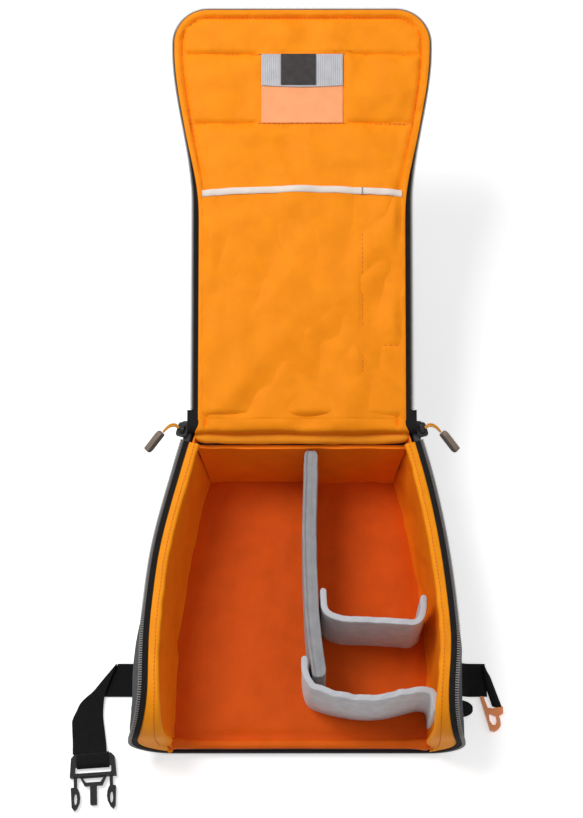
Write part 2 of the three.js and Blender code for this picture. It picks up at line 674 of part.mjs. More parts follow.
function dividers() {
  const z = FLOOR_Z + GAP;
  const midY = (LONG_TOP_END_Y + LONG_NEAR_Y) / 2;
  addPiece("divider_long", extruded(bandShape([
    [LONG_FAR_X, LONG_TOP_END_Y], [LONG_MID_X, midY], [LONG_NEAR_X, LONG_NEAR_Y],
  ], LONG_DIVIDER_THICK, 12), DIVIDER_HEIGHT, z), DIVIDER_DARK);
  const half = DIVIDER_THICK / 2;
  const room = LONG_DIVIDER_THICK / 2 + half + DIVIDER_CLEAR;
  const rightEnd = (y) => innerX(y, FLOOR_Z) - half - DIVIDER_CLEAR;
  const upperLeft = LONG_MID_X + room + 2 * DIVIDER_CLEAR;
  const upperRight = rightEnd(UPPER_CROSS_Y + FLANGE_LENGTH);
  const upperLow = UPPER_CROSS_Y - UPPER_FALL;
  addPiece("divider_cross_upper", extruded(bandShape([
    [upperLeft, UPPER_CROSS_Y + FLANGE_LENGTH],
    [upperLeft + DIVIDER_CLEAR, UPPER_CROSS_Y + FLANGE_ROUND],
    [upperLeft + FLANGE_ROUND, UPPER_CROSS_Y],
    [(upperLeft + upperRight) / 2, (UPPER_CROSS_Y + upperLow) / 2 - UPPER_BOW],
    [upperRight - FLANGE_ROUND, upperLow],
    [upperRight - DIVIDER_CLEAR, upperLow + FLANGE_ROUND],
    [upperRight, upperLow + FLANGE_LENGTH],
  ], DIVIDER_THICK, 26), DIVIDER_HEIGHT, z), DIVIDER_GREY);
  const lowerLeft = LONG_NEAR_X - room - FLANGE_LEAN - DIVIDER_CLEAR;
  const lowerRight = rightEnd(LOWER_CROSS_Y - NEAR_FLANGE_LENGTH);
  const lowerLow = LOWER_CROSS_Y - LOWER_FALL;
  addPiece("divider_cross_lower", extruded(bandShape([
    [lowerLeft, LOWER_CROSS_Y + LEFT_FLANGE_LENGTH],
    [lowerLeft + FLANGE_LEAN, LOWER_CROSS_Y + FLANGE_ROUND],
    [lowerLeft + FLANGE_ROUND, LOWER_CROSS_Y],
    [(lowerLeft + lowerRight) / 2, (LOWER_CROSS_Y + lowerLow) / 2 - LOWER_BOW],
    [lowerRight - FLANGE_ROUND, lowerLow],
    [lowerRight - DIVIDER_CLEAR, lowerLow - FLANGE_ROUND],
    [lowerRight, lowerLow - NEAR_FLANGE_LENGTH],
  ], DIVIDER_THICK, 26), DIVIDER_HEIGHT, z), DIVIDER_GREY);
}

// Zipper sliders at the hinge end of the rim, each with its cord and grip
const SLIDER_LENGTH = 11;
const SLIDER_WIDTH = 8;
const SLIDER_PLATE = 1.8;
const SLIDER_LIFT = 0.6;
const SLIDER_Y = HALF;
const SLIDER_OUTSET = 1.9;
const SLIDER_FLANGE_DROP = 1.8;
const BRIDGE_HEIGHT = 3.2;
const BRIDGE_WIDTH = 3;
const BRIDGE_LENGTH = 7;
const BRIDGE_WALL = 1.2;
const CORD_RADIUS = 1.4;
const GRIP_LENGTH = 18;
const GRIP_WIDTH = 7.5;
const GRIP_THICK = 4;
const CORD_REACH = 8;

// Turns geometry drawn along +Y so that it runs along the rim at the sliders
function alongRim(geometry, side) {
  const run = SLIDER_LENGTH;
  const angle = Math.atan2(rimHalfWidth(SLIDER_Y - run) - rimHalfWidth(SLIDER_Y), run);
  return geometry.rotateZ(side * angle)
    .translate(side * (rimHalfWidth(SLIDER_Y) + SLIDER_OUTSET), SLIDER_Y, 0);
}

function sliders() {
  const z0 = TAPE_TOP + SLIDER_LIFT;
  const z1 = z0 + SLIDER_PLATE;
  for (const [word, side] of [["left", -1], ["right", 1]]) {
    const plate = extruded(roundedRect(-SLIDER_WIDTH / 2, -SLIDER_LENGTH / 2, SLIDER_WIDTH / 2,
      SLIDER_LENGTH / 2, SLIDER_WIDTH / 4), SLIDER_PLATE, z0, 4);
    const flangeX = side * (SLIDER_WIDTH / 2);
    const inner = flangeX - side * BRIDGE_WALL;
    const flange = boxBetween(Math.min(inner, flangeX), Math.max(inner, flangeX),
      -SLIDER_LENGTH / 4, SLIDER_LENGTH / 4, z0 - SLIDER_FLANGE_DROP, z0 + SLIDER_PLATE / 2);
    const arch = new THREE.Shape();
    const halfBridge = BRIDGE_LENGTH / 2;
    arch.moveTo(halfBridge, -SLIDER_PLATE / 2);
    arch.lineTo(halfBridge, 0);
    arch.absellipse(0, 0, halfBridge, BRIDGE_HEIGHT, 0, Math.PI);
    arch.lineTo(-halfBridge, -SLIDER_PLATE / 2);
    arch.lineTo(-halfBridge + BRIDGE_WALL, -SLIDER_PLATE / 2);
    arch.lineTo(-halfBridge + BRIDGE_WALL, 0);
    arch.absellipse(0, 0, halfBridge - BRIDGE_WALL, BRIDGE_HEIGHT - BRIDGE_WALL,
      Math.PI, 0, true);
    arch.lineTo(halfBridge - BRIDGE_WALL, -SLIDER_PLATE / 2);
    const bridge = acrossX(arch, BRIDGE_WIDTH / 2, 6).translate(0, 0, z1);
    addPiece(`slider_${word}`, alongRim(joined([plate, flange, bridge]), side), BLACK_PLASTIC);
    pullTab(word, side, z1);
  }
}

// The cord leaves the slider outwards and droops, with a moulded grip on its end
function pullTab(word, side, z1) {
  const start = SLIDER_WIDTH / 2 + CORD_RADIUS - BRIDGE_WALL / 2;
  const z = z1 + CORD_RADIUS + GAP;
  const curve = new THREE.CatmullRomCurve3([
    new THREE.Vector3(side * (start - BRIDGE_WIDTH / 3), 0, z),
    new THREE.Vector3(side * (start + CORD_REACH * 0.4), CORD_RADIUS / 2, z + CORD_RADIUS),
    new THREE.Vector3(side * (start + CORD_REACH * 0.9), -CORD_RADIUS, z),
    new THREE.Vector3(side * (start + CORD_REACH * 1.2), -CORD_RADIUS * 4, z - CORD_RADIUS * 2),
  ]);
  const section = new THREE.Shape();
  section.absellipse(0, 0, CORD_RADIUS, CORD_RADIUS, 0, 2 * Math.PI);
  const cord = new THREE.ExtrudeGeometry(section, {
    steps: 10, extrudePath: curve, bevelEnabled: false, curveSegments: 4,
  });
  addPiece(`pull_cord_${word}`, alongRim(cord, side), ORANGE_CORD);
  const tip = curve.getPointAt(1);
  const away = curve.getTangentAt(1);
  const shape = roundedRect(-GRIP_WIDTH / 2, 0, GRIP_WIDTH / 2, GRIP_LENGTH, GRIP_WIDTH / 3);
  const grip = new THREE.ExtrudeGeometry(shape, {
    depth: GRIP_THICK, bevelEnabled: false, curveSegments: 4,
  }).translate(0, GAP, -GRIP_THICK / 2);
  const spin = new THREE.Quaternion().setFromUnitVectors(new THREE.Vector3(0, 1, 0), away);
  grip.applyQuaternion(spin).translate(tip.x, tip.y, tip.z);
  addPiece(`pull_grip_${word}`, alongRim(grip, side), GRIP_RUBBER);
}

// The cloth tabs that cover the ends of the zipper beside the hinge
const GARAGE_LENGTH = 10;
const GARAGE_WIDTH = 9;
const GARAGE_HEIGHT = 14;

function garages() {
  for (const [word, side] of [["left", -1], ["right", 1]]) {
    const middle = side * (HINGE_HALF_WIDTH + TOOTH_REACH - GARAGE_WIDTH / 4);
    addPiece(`zip_garage_${word}`, extruded(
      roundedRect(middle - GARAGE_WIDTH / 2, HALF + GAP, middle + GARAGE_WIDTH / 2,
        HALF + GAP + GARAGE_LENGTH, GARAGE_WIDTH / 3), GARAGE_HEIGHT, BODY_DEPTH - GARAGE_HEIGHT, 3),
    GREY_CLOTH);
  }
}

// Waist straps: flat webbing that lies on the ground beside the case
const STRAP_SETBACK = 53.7;
const STRAP_Y = NEAR_Y + STRAP_SETBACK;
const STRAP_ROOT_Z = 6;
const LEFT_RUN = 24;
const RIGHT_RUN = 23;
const RIGHT_END_THICK = 4.5;
const STRAP_Z = 0.2;
const TAB_LENGTH = 13;
const TAB_REACH = 11;
const TAB_SETBACK = 4;
const TAB_THICK = 3;

// Outlines of the folded ends, from the fold and in shares of the webbing's width
const leftEndShares = [[-0.03, -0.02], [-0.4, -0.48], [-0.74, -0.91], [-1.05, -1.2], [-1.16, -1.43],
  [-1.276, -1.72], [-1.27, -1.94], [-1.19, -2.756], [-0.19, -2.676], [-0.276, -2.14],
  [-0.364, -1.56], [-0.372, -1]];
const rightEndShares = [[-0.07, 0.4], [0, 0.29], [0.152, 0.144], [0.46, -0.788], [0.152, -0.836],
  [0.03, -0.5], [-0.07, -0.5]];

const strapRootX = () => seatX(STRAP_Y - WEBBING_WIDTH / 2, STRAP_ROOT_Z + WEBBING_THICK);

// Webbing that leaves the seam a little above the ground and comes down to it
function strapRun(side, length, width) {
  const root = strapRootX();
  const low = STRAP_Z + WEBBING_THICK;
  const stops = [[0, STRAP_ROOT_Z + WEBBING_THICK], [0.15, STRAP_ROOT_Z * 0.8 + WEBBING_THICK],
    [0.45, low + 1], [0.6, low], [1, low]];
  const sheet = (drop) => stops.map(([share, z]) => [
    new THREE.Vector3(side * (root + share * length), STRAP_Y - width / 2, z - drop),
    new THREE.Vector3(side * (root + share * length), STRAP_Y + width / 2, z - drop),
  ]);
  return sheetSolid(sheet(0), sheet(WEBBING_THICK));
}

function strapLeft() {
  const foldX = -(strapRootX() + LEFT_RUN);
  const top = STRAP_Y + WEBBING_WIDTH / 2;
  const seam = foldX + WEBBING_THICK;
  const turned = leftEndShares.map(([across, along]) =>
    new THREE.Vector2(foldX + across * WEBBING_WIDTH, top + along * WEBBING_WIDTH));
  const outline = new THREE.Shape([
    new THREE.Vector2(seam, top), ...turned, new THREE.Vector2(seam, top - WEBBING_WIDTH),
  ]);
  addPiece("strap_left",
    joined([strapRun(-1, LEFT_RUN, WEBBING_WIDTH), extruded(outline, WEBBING_THICK, STRAP_Z)]),
    BLACK_CLOTH);
}

function strapRight() {
  const end = strapRootX() + RIGHT_RUN;
  const outline = new THREE.Shape(rightEndShares.map(([across, along]) =>
    new THREE.Vector2(end + across * WEBBING_WIDTH, STRAP_Y + along * WEBBING_WIDTH)));
  addPiece("strap_right", joined([strapRun(1, RIGHT_RUN, WEBBING_WIDTH),
    extruded(outline, RIGHT_END_THICK, STRAP_Z)]), BLACK_CLOTH);
}

function strapTabs() {
  for (const [word, side] of [["left", -1], ["right", 1]]) {
    const y = STRAP_Y - WEBBING_WIDTH / 2 - TAB_LENGTH / 2 - TAB_SETBACK;
    const root = seatX(y, STRAP_ROOT_Z + TAB_THICK);
    const shape = new THREE.Shape();
    shape.absellipse(0, 0, TAB_REACH, TAB_LENGTH / 2, -Math.PI / 2, Math.PI / 2);
    const tab = extruded(shape, TAB_THICK, STRAP_ROOT_Z, 8);
    if (side < 0) tab.rotateZ(Math.PI);
    addPiece(`strap_tab_${word}`, tab.translate(side * root, y, 0), BLACK_CLOTH);
  }
}

// The male half of a side-release buckle: a frame, a braced post and two eye-shaped prongs
const BUCKLE_WIDTH = 34;
const BUCKLE_FRAME_LENGTH = 16.5;
const BUCKLE_THICK = 6;
const BUCKLE_SLOT_WIDTH = 27;
const BUCKLE_SLOT_LENGTH = 5.4;
const BUCKLE_SLOT_DROP = 8.5;
const BUCKLE_Z = 0.3;
const BUCKLE_TILT_DEG = 4;
const BUCKLE_OFFSET = 2.4;
const POST_WIDTH = 4.8;
const POST_LENGTH = 20.5;
const BRACE_WIDTH = 20.5;
const BRACE_FOOT_WIDTH = 13;
const BRACE_LENGTH = 6.5;
const BRACE_BAR = 2.4;
const PRONG_LENGTH = 24;
const PRONG_WIDTH = 6.6;
const PRONG_STEM_WIDTH = 2.2;
const PRONG_STEM_SHARE = 0.32;
const PRONG_EYE_WIDTH = 2.6;
const PRONG_EYE_SHARE = 0.36;

// The left prong's half outline, from its inner side round the tip: shares of its width and length
const prongShares = [[-0.25, 0.33], [-0.42, 0.45], [-0.5, 0.6], [-0.42, 0.76], [-0.15, 0.92],
  [0.15, 1], [0.42, 0.9], [0.5, 0.31], [0.3, 0.3]];

function buckleProng(side, low) {
  const middle = BUCKLE_WIDTH / 2 - PRONG_WIDTH / 2 - PRONG_STEM_WIDTH / 4;
  const shape = new THREE.Shape(prongShares.map(([across, along]) =>
    new THREE.Vector2(side * (middle + across * PRONG_WIDTH), low - along * PRONG_LENGTH)));
  const eye = new THREE.Path();
  eye.absellipse(side * middle, low - PRONG_LENGTH * 0.65, PRONG_EYE_WIDTH / 2,
    PRONG_EYE_SHARE * PRONG_LENGTH / 2, 0, 2 * Math.PI);
  shape.holes.push(eye);
  const stem = roundedRect(side * middle - PRONG_STEM_WIDTH / 2,
    low - PRONG_LENGTH * (PRONG_STEM_SHARE + 0.06), side * middle + PRONG_STEM_WIDTH / 2, low + 1,
    PRONG_STEM_WIDTH / 4);
  return joined([extruded(shape, BUCKLE_THICK * 0.7, BUCKLE_THICK * 0.15, 5),
    extruded(stem, BUCKLE_THICK * 0.6, BUCKLE_THICK * 0.2, 2)]);
}

function buckle() {
  const last = leftEndShares[7];
  const next = leftEndShares[8];
  const foldX = -(strapRootX() + LEFT_RUN);
  const x = foldX + (last[0] + next[0]) / 2 * WEBBING_WIDTH + BUCKLE_OFFSET;
  const top = STRAP_Y + WEBBING_WIDTH / 2 + (last[1] + next[1]) / 2 * WEBBING_WIDTH - 2 * GAP;
  const half = BUCKLE_WIDTH / 2;
  const low = -BUCKLE_FRAME_LENGTH;
  const frame = new THREE.Shape([
    new THREE.Vector2(-half * 0.8, 0), new THREE.Vector2(-half * 0.94, low * 0.16),
    new THREE.Vector2(-half, low), new THREE.Vector2(half, low),
    new THREE.Vector2(half * 0.94, low * 0.16), new THREE.Vector2(half * 0.8, 0),
  ]);
  frame.holes.push(roundedRect(-BUCKLE_SLOT_WIDTH / 2, -BUCKLE_SLOT_DROP - BUCKLE_SLOT_LENGTH,
    BUCKLE_SLOT_WIDTH / 2, -BUCKLE_SLOT_DROP, BUCKLE_SLOT_LENGTH / 5));
  const trapeze = (width, foot, y0, y1) => [
    new THREE.Vector2(-width / 2, y0), new THREE.Vector2(-foot / 2, y1),
    new THREE.Vector2(foot / 2, y1), new THREE.Vector2(width / 2, y0),
  ];
  const brace = new THREE.Shape(trapeze(BRACE_WIDTH, BRACE_FOOT_WIDTH, low + 1, low - BRACE_LENGTH));
  brace.holes.push(new THREE.Path(trapeze(BRACE_WIDTH - 2 * BRACE_BAR,
    BRACE_FOOT_WIDTH - BRACE_BAR, low - BRACE_BAR / 4, low - BRACE_LENGTH + BRACE_BAR)));
  const post = roundedRect(-POST_WIDTH / 2, low - POST_LENGTH, POST_WIDTH / 2,
    low - BRACE_LENGTH + BRACE_BAR / 2, POST_WIDTH / 6);
  const pieces = [extruded(frame, BUCKLE_THICK, 0, 4),
    extruded(brace, BUCKLE_THICK * 0.6, BUCKLE_THICK * 0.2),
    extruded(post, BUCKLE_THICK * 0.6, BUCKLE_THICK * 0.2, 2),
    buckleProng(-1, low), buckleProng(1, low)];
  addPiece("buckle_male", joined(pieces).rotateZ(THREE.MathUtils.degToRad(BUCKLE_TILT_DEG))
    .translate(x, top, BUCKLE_Z), BLACK_PLASTIC);
}

// The plastic hook on the end of the right strap: a thin arm, a bow and a thick shoulder
const HOOK_THICK = 4;
const HOOK_WEB_THICK = 2;

// Outlines of the hook, from the end of the strap's run and in shares of the webbing's width
const hookShares = [[-0.2, -0.515], [-0.1, -0.515], [0.02, -0.87], [0.09, -0.95], [0.16, -0.875],
  [0.47, -0.82], [0.47, -1.02], [0.34, -1.1], [0.375, -1.25], [0.375, -1.4], [0.3, -1.5],
  [0.19, -1.56], [0.06, -1.53]];
const hookEyeShares = [[0.035, -1.02], [0.05, -1.24], [0.13, -1.37], [0.22, -1.375], [0.27, -1.24],
  [0.245, -1.09]];
const hookWebShares = [[-0.01, -0.83], [0.15, -0.86], [0.2, -1], [0.04, -1.04]];

function hook() {
  const end = strapRootX() + RIGHT_RUN;
  const points = (shares) => shares.map(([across, along]) =>
    new THREE.Vector2(end + across * WEBBING_WIDTH, STRAP_Y + along * WEBBING_WIDTH));
  const outline = new THREE.Shape(points(hookShares));
  outline.holes.push(new THREE.Path(points(hookEyeShares)));
  const web = new THREE.Shape(points(hookWebShares));
  addPiece("strap_hook", joined([extruded(outline, HOOK_THICK, STRAP_Z),
    extruded(web, HOOK_WEB_THICK, STRAP_Z)]), ORANGE_PLASTIC);
}

backPads();
backPanel();
sideWalls();
nearLip();
farWall();
upperSection();
doorLayers();
doorPockets();
dividers();
sliders();
garages();
strapLeft();
strapRight();
strapTabs();
buckle();
hook();

export default part;
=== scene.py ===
"""Looks of the soft padded carrying case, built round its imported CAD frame.
Lengths are in millimetres in this script, and turn into metres where a mesh is made."""

import math

import bpy
import numpy as np
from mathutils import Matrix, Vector


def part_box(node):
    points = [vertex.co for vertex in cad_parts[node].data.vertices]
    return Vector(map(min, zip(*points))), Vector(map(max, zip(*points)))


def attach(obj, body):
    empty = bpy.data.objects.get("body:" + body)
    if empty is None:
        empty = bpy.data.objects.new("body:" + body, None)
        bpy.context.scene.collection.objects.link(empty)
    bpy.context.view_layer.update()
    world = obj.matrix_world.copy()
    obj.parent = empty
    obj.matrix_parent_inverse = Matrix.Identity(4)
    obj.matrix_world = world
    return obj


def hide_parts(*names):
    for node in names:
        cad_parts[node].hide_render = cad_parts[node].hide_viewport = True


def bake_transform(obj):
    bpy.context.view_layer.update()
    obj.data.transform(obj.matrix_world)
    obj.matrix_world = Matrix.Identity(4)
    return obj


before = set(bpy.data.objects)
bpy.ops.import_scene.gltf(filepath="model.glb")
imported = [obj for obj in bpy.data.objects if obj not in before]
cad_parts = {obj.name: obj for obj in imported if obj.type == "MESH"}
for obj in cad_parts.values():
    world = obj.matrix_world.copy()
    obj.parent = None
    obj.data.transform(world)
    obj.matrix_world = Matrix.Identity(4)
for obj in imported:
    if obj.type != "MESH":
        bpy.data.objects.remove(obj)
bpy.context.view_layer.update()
MM = 0.001
BASE = "case"

# Driving sizes, as in the CAD source
BODY_LENGTH = 219.4
BODY_DEPTH = 92.0
HINGE_HALF_WIDTH = 87.0
NEAR_HALF_WIDTH = 111.5
BELLY = 8.0
WALL_LEAN = 8.0
RIM_CORNER_RADIUS = 35.0
SIDE_CURVE_POWER = 2.5
BELLY_POWER = 0.6
GAP = 0.3
SHELL_THICK = 1.6
FOAM_THICK = 6.0
FLOOR_FOAM_THICK = 5.0
LINING_THICK = 1.2
PAD_THICK = 3.0
WEBBING_THICK = 1.8
WEBBING_WIDTH = 25.0
TAPE_THICK = 1.2
TAPE_WIDTH = 5.0
DOOR_SLOPE = math.radians(20.0)
DOOR_HALF_WIDTH = 82.0
FLAP_HALF_WIDTH = 97.5
FLAP_LENGTH = 91.0
FLAP_CORNER_RADIUS = 27.0
FLARE_START = 165.0
FLARE_LENGTH = 120.0
DOOR_FACE = 3.0
DOOR_FOAM_THICK = 4.3
DOOR_SHELL_THICK = 1.3
HINGE_SETBACK = 2.3
DOOR_EDGE_START = 2.0
BINDING_THICK = 1.6
BINDING_WIDTH = 5.0
DOOR_CLEARANCE = 0.5

# Thickness of a layer of cloth that is seen from its edge
CLOTH_THICK = 0.9

HALF = BODY_LENGTH / 2
NEAR_Y = -HALF
WALL_BOTTOM = PAD_THICK + GAP
WALL_THICK = SHELL_THICK + FOAM_THICK + LINING_THICK + 2 * GAP
FLOOR_Z = WALL_BOTTOM + SHELL_THICK + FLOOR_FOAM_THICK + LINING_THICK + 2 * GAP
TAPE_Z = BODY_DEPTH + GAP
TAPE_TOP = TAPE_Z + TAPE_THICK
HINGE_Y = HALF + HINGE_SETBACK
HINGE_Z = TAPE_TOP + DOOR_CLEARANCE + DOOR_FACE + GAP + BINDING_THICK
FRONT_LENGTH = HINGE_Y + HALF + GAP + TAPE_THICK + DOOR_CLEARANCE
DOOR_LENGTH = FRONT_LENGTH + FLAP_LENGTH
FAR_WALL_Y = HALF - 8.0 - GAP - LINING_THICK
SIDES = (("left", -1), ("right", 1))


def clamp(value):
    return np.clip(value, 0.0, 1.0)


def smooth(share):
    """0 at 0 and below, 1 at 1 and above, with a soft start and end."""
    share = clamp(share)
    return share * share * (3 - 2 * share)


def bump(distance, width):
    """1 at distance 0, falling smoothly to 0 over about twice the width."""
    return np.exp(-(np.asarray(distance) / width) ** 2)


def noise(x, y, seed=0.0):
    """Smooth noise from -1 to 1 over the plane, the same on every run."""
    x, y = np.broadcast_arrays(np.asarray(x, float), np.asarray(y, float))
    xi, yi = np.floor(x), np.floor(y)
    u, v = x - xi, y - yi
    u, v = u * u * (3 - 2 * u), v * v * (3 - 2 * v)

    def corner(i, j):
        value = np.sin(i * 127.1 + j * 311.7 + seed * 74.7) * 43758.5453
        return 2 * (value - np.floor(value)) - 1

    near = corner(xi, yi) * (1 - u) + corner(xi + 1, yi) * u
    far = corner(xi, yi + 1) * (1 - u) + corner(xi + 1, yi + 1) * u
    return near * (1 - v) + far * v


def folds(x, y, angle, length, width, seed):
    """Soft wrinkles that run at an angle in degrees, of that length and spacing, from -1 to 1."""
    a = math.radians(angle)
    along, across = x * math.cos(a) + y * math.sin(a), y * math.cos(a) - x * math.sin(a)
    bent = across + 0.35 * width * noise(along / length, across / length, seed + 5)
    return noise(along / length, bent / width, seed)


def points_of(*coordinates):
    """Points from their coordinates, numbers or arrays that fill out to one shape."""
    return np.stack(np.broadcast_arrays(*coordinates), axis=-1)


# Meshes

def make_mesh(name, points, faces, look, body, replaces=(), uv=None, sharp=50):
    mesh = bpy.data.meshes.new(name)
    mesh.from_pydata((np.asarray(points, float) * MM).tolist(), [], faces)
    mesh.validate()
    if uv is not None:
        layer = mesh.uv_layers.new(name="UVMap")
        index = np.zeros(len(mesh.loops), int)
        mesh.loops.foreach_get("vertex_index", index)
        layer.data.foreach_set("uv", (np.asarray(uv, float) * MM)[index].astype(np.float32).ravel())
    mesh.shade_smooth()
    mesh.set_sharp_from_angle(angle=math.radians(sharp))
    mesh.materials.append(look)
    piece = bpy.data.objects.new(name, mesh)
    bpy.context.scene.collection.objects.link(piece)
    if body:
        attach(piece, body)
    if replaces:
        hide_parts(*replaces)
    return piece


def outward(points, faces):
    """The faces, turned round if the closed mesh is inside out."""
    points = np.asarray(points, float)
    volume = 0.0
    for face in faces:
        a = points[face[0]]
        for i in range(1, len(face) - 1):
            volume += np.dot(a, np.cross(points[face[i]], points[face[i + 1]]))
    return [face[::-1] for face in faces] if volume < 0 else faces


def arc_lengths(grid):
    """For each point of a grid, the length along its row and along its column."""
    across = np.zeros(grid.shape[:2])
    across[:, 1:] = np.cumsum(np.linalg.norm(np.diff(grid, axis=1), axis=2), axis=1)
    along = np.zeros(grid.shape[:2])
    along[1:] = np.cumsum(np.linalg.norm(np.diff(grid, axis=0), axis=2), axis=0)
    return points_of(across - across[:, -1:] / 2, along).reshape(-1, 2)


def closed_sheet(name, front, back, look, body, replaces=()):
    """The closed solid between two grids of points."""
    n, m = front.shape[:2]
    points = np.concatenate([front.reshape(-1, 3), back.reshape(-1, 3)])
    faces = []
    for i in range(n - 1):
        for j in range(m - 1):
            a, b = i * m + j, i * m + j + 1
            c, d = b + m, a + m
            faces += [(a, b, c, d), (a + n * m, d + n * m, c + n * m, b + n * m)]
    rim = list(range(m)) + [i * m + m - 1 for i in range(1, n)]
    rim += [(n - 1) * m + j for j in range(m - 2, -1, -1)] + [i * m for i in range(n - 2, 0, -1)]
    for a, b in zip(rim, rim[1:] + rim[:1]):
        faces.append((a, a + n * m, b + n * m, b))
    uv = arc_lengths(front)
    return make_mesh(name, points, outward(points, faces), look, body, replaces,
                     np.concatenate([uv, uv]))


def loft(name, rings, look, body, replaces=(), sharp=50):
    """A tube through closed rings of points, with flat ends."""
    rings = np.asarray(rings, float)
    n, k = rings.shape[:2]
    faces = []
    for i in range(n - 1):
        for j in range(k):
            a, b = i * k + j, i * k + (j + 1) % k
            faces.append((a, b, b + k, a + k))
    faces += [tuple(range(k))[::-1], tuple(range((n - 1) * k, n * k))]
    points = rings.reshape(-1, 3)
    return make_mesh(name, points, outward(points, faces), look, body, replaces,
                     arc_lengths(rings), sharp)


def many(name, blocks, look, body):
    """One mesh of many small closed blocks, each a centre with three half axes."""
    corners = np.array([(x, y, z) for x in (-1, 1) for y in (-1, 1) for z in (-1, 1)], float)
    sides = [(0, 1, 3, 2), (4, 6, 7, 5), (0, 4, 5, 1), (2, 3, 7, 6), (0, 2, 6, 4), (1, 5, 7, 3)]
    points, faces = [], []
    for centre, a, b, c in blocks:
        base = 8 * len(points)
        axes = np.array([a, b, c])
        points.append(np.asarray(centre) + corners @ axes)
        flip = np.linalg.det(axes) < 0
        faces += [tuple(base + i for i in (side if flip else side[::-1])) for side in sides]
    made = np.concatenate(points)
    first = faces[:6]
    if outward(made[:8], first) is not first:
        faces = [f[::-1] for f in faces]
    return make_mesh(name, made, faces, look, body)


def smooth_path(points, count):
    """Even steps along a smooth curve through the points."""
    p = np.asarray(points, float)
    p = np.concatenate([[2 * p[0] - p[1]], p, [2 * p[-1] - p[-2]]])
    dense = []
    for i in range(1, len(p) - 2):
        for t in np.linspace(0, 1, 24, endpoint=False):
            a, b, c, d = p[i - 1:i + 3]
            dense.append(0.5 * (2 * b + (c - a) * t + (2 * a - 5 * b + 4 * c - d) * t * t
                                + (3 * b - a - 3 * c + d) * t ** 3))
    dense.append(p[-2])
    return even_steps(dense, count)


def even_steps(points, count):
    """The points of a path, put again at even steps along it."""
    p = np.asarray(points, float)
    lengths = np.concatenate([[0], np.cumsum(np.linalg.norm(np.diff(p, axis=0), axis=1))])
    at = np.linspace(0, lengths[-1], count)
    return np.stack([np.interp(at, lengths, p[:, i]) for i in range(p.shape[1])], axis=1)


def path_length(points):
    return float(np.linalg.norm(np.diff(points, axis=0), axis=1).sum())


def tangents(path):
    t = np.gradient(path, axis=0)
    return t / np.linalg.norm(t, axis=1, keepdims=True)


def unit(v):
    v = np.asarray(v, float)
    return v / np.maximum(np.linalg.norm(v, axis=-1, keepdims=True), 1e-9)


def steps_with(count, path, *directions):
    """Even steps along a path, with the unit directions that go with its points."""
    line = even_steps(np.concatenate([path, *directions], axis=1), count)
    return [line[:, :3]] + [unit(line[:, i:i + 3]) for i in range(3, line.shape[1], 3)]


def tube(name, path, radius, look, body, replaces=()):
    """A round cord along a path."""
    t = tangents(path)
    side = unit(np.cross(t, np.array([0.13, 0.21, 0.97])))
    up = np.cross(side, t)
    turn = np.linspace(0, 2 * math.pi, 10, endpoint=False)
    rings = (path[:, None] + radius * (np.cos(turn)[None, :, None] * side[:, None]
                                       + np.sin(turn)[None, :, None] * up[:, None]))
    return loft(name, rings, look, body, replaces)


def ribbon(name, path, across, normal, width, thick, look, body, replaces=(), crown=0.0,
           columns=9):
    """A flat band along a path: across and normal are unit vectors at each point of it."""
    u = np.linspace(-0.5, 0.5, columns)
    rise = crown * (1 - (2 * u) ** 2)
    middle = path[:, None] + across[:, None] * (u * width)[None, :, None]
    front = middle + normal[:, None] * (thick / 2 + rise)[None, :, None]
    back = middle - normal[:, None] * (thick / 2)
    return closed_sheet(name, front, back, look, body, replaces)


def stitch_blocks(path, normal, length=2.2, pitch=3.4, radius=0.3):
    """Blocks of thread along a path, lying on the surface whose normal is given."""
    centres, up = steps_with(max(2, int(path_length(path) / pitch)), path, normal)
    t = tangents(centres)
    side = np.cross(up, t)
    return list(zip(centres, t * length / 2, side * radius, up * radius))


def tooth_blocks(path, across, normal, pitch=1.7, reach=1.3, width=0.8, height=0.85):
    """Zipper teeth along a path, standing out sideways from it."""
    centres, out, up = steps_with(int(path_length(path) / pitch), path, across, normal)
    return list(zip(centres, tangents(centres) * width / 2, out * reach, up * height))


# Materials

SOCKETS = {"rough": "Roughness", "sheen": "Sheen Weight", "sheen_rough": "Sheen Roughness",
           "specular": "Specular IOR Level", "coat": "Coat Weight", "coat_rough": "Coat Roughness"}


def srgb(r, g, b):
    """A colour given as 0 to 255 on screen, in the linear values of a shader."""
    def linear(c):
        c /= 255
        return c / 12.92 if c <= 0.04045 else ((c + 0.055) / 1.055) ** 2.4
    return (linear(r), linear(g), linear(b), 1.0)


def shaded(colour, share):
    return tuple(min(1.0, c * share) for c in colour[:3]) + (1.0,)


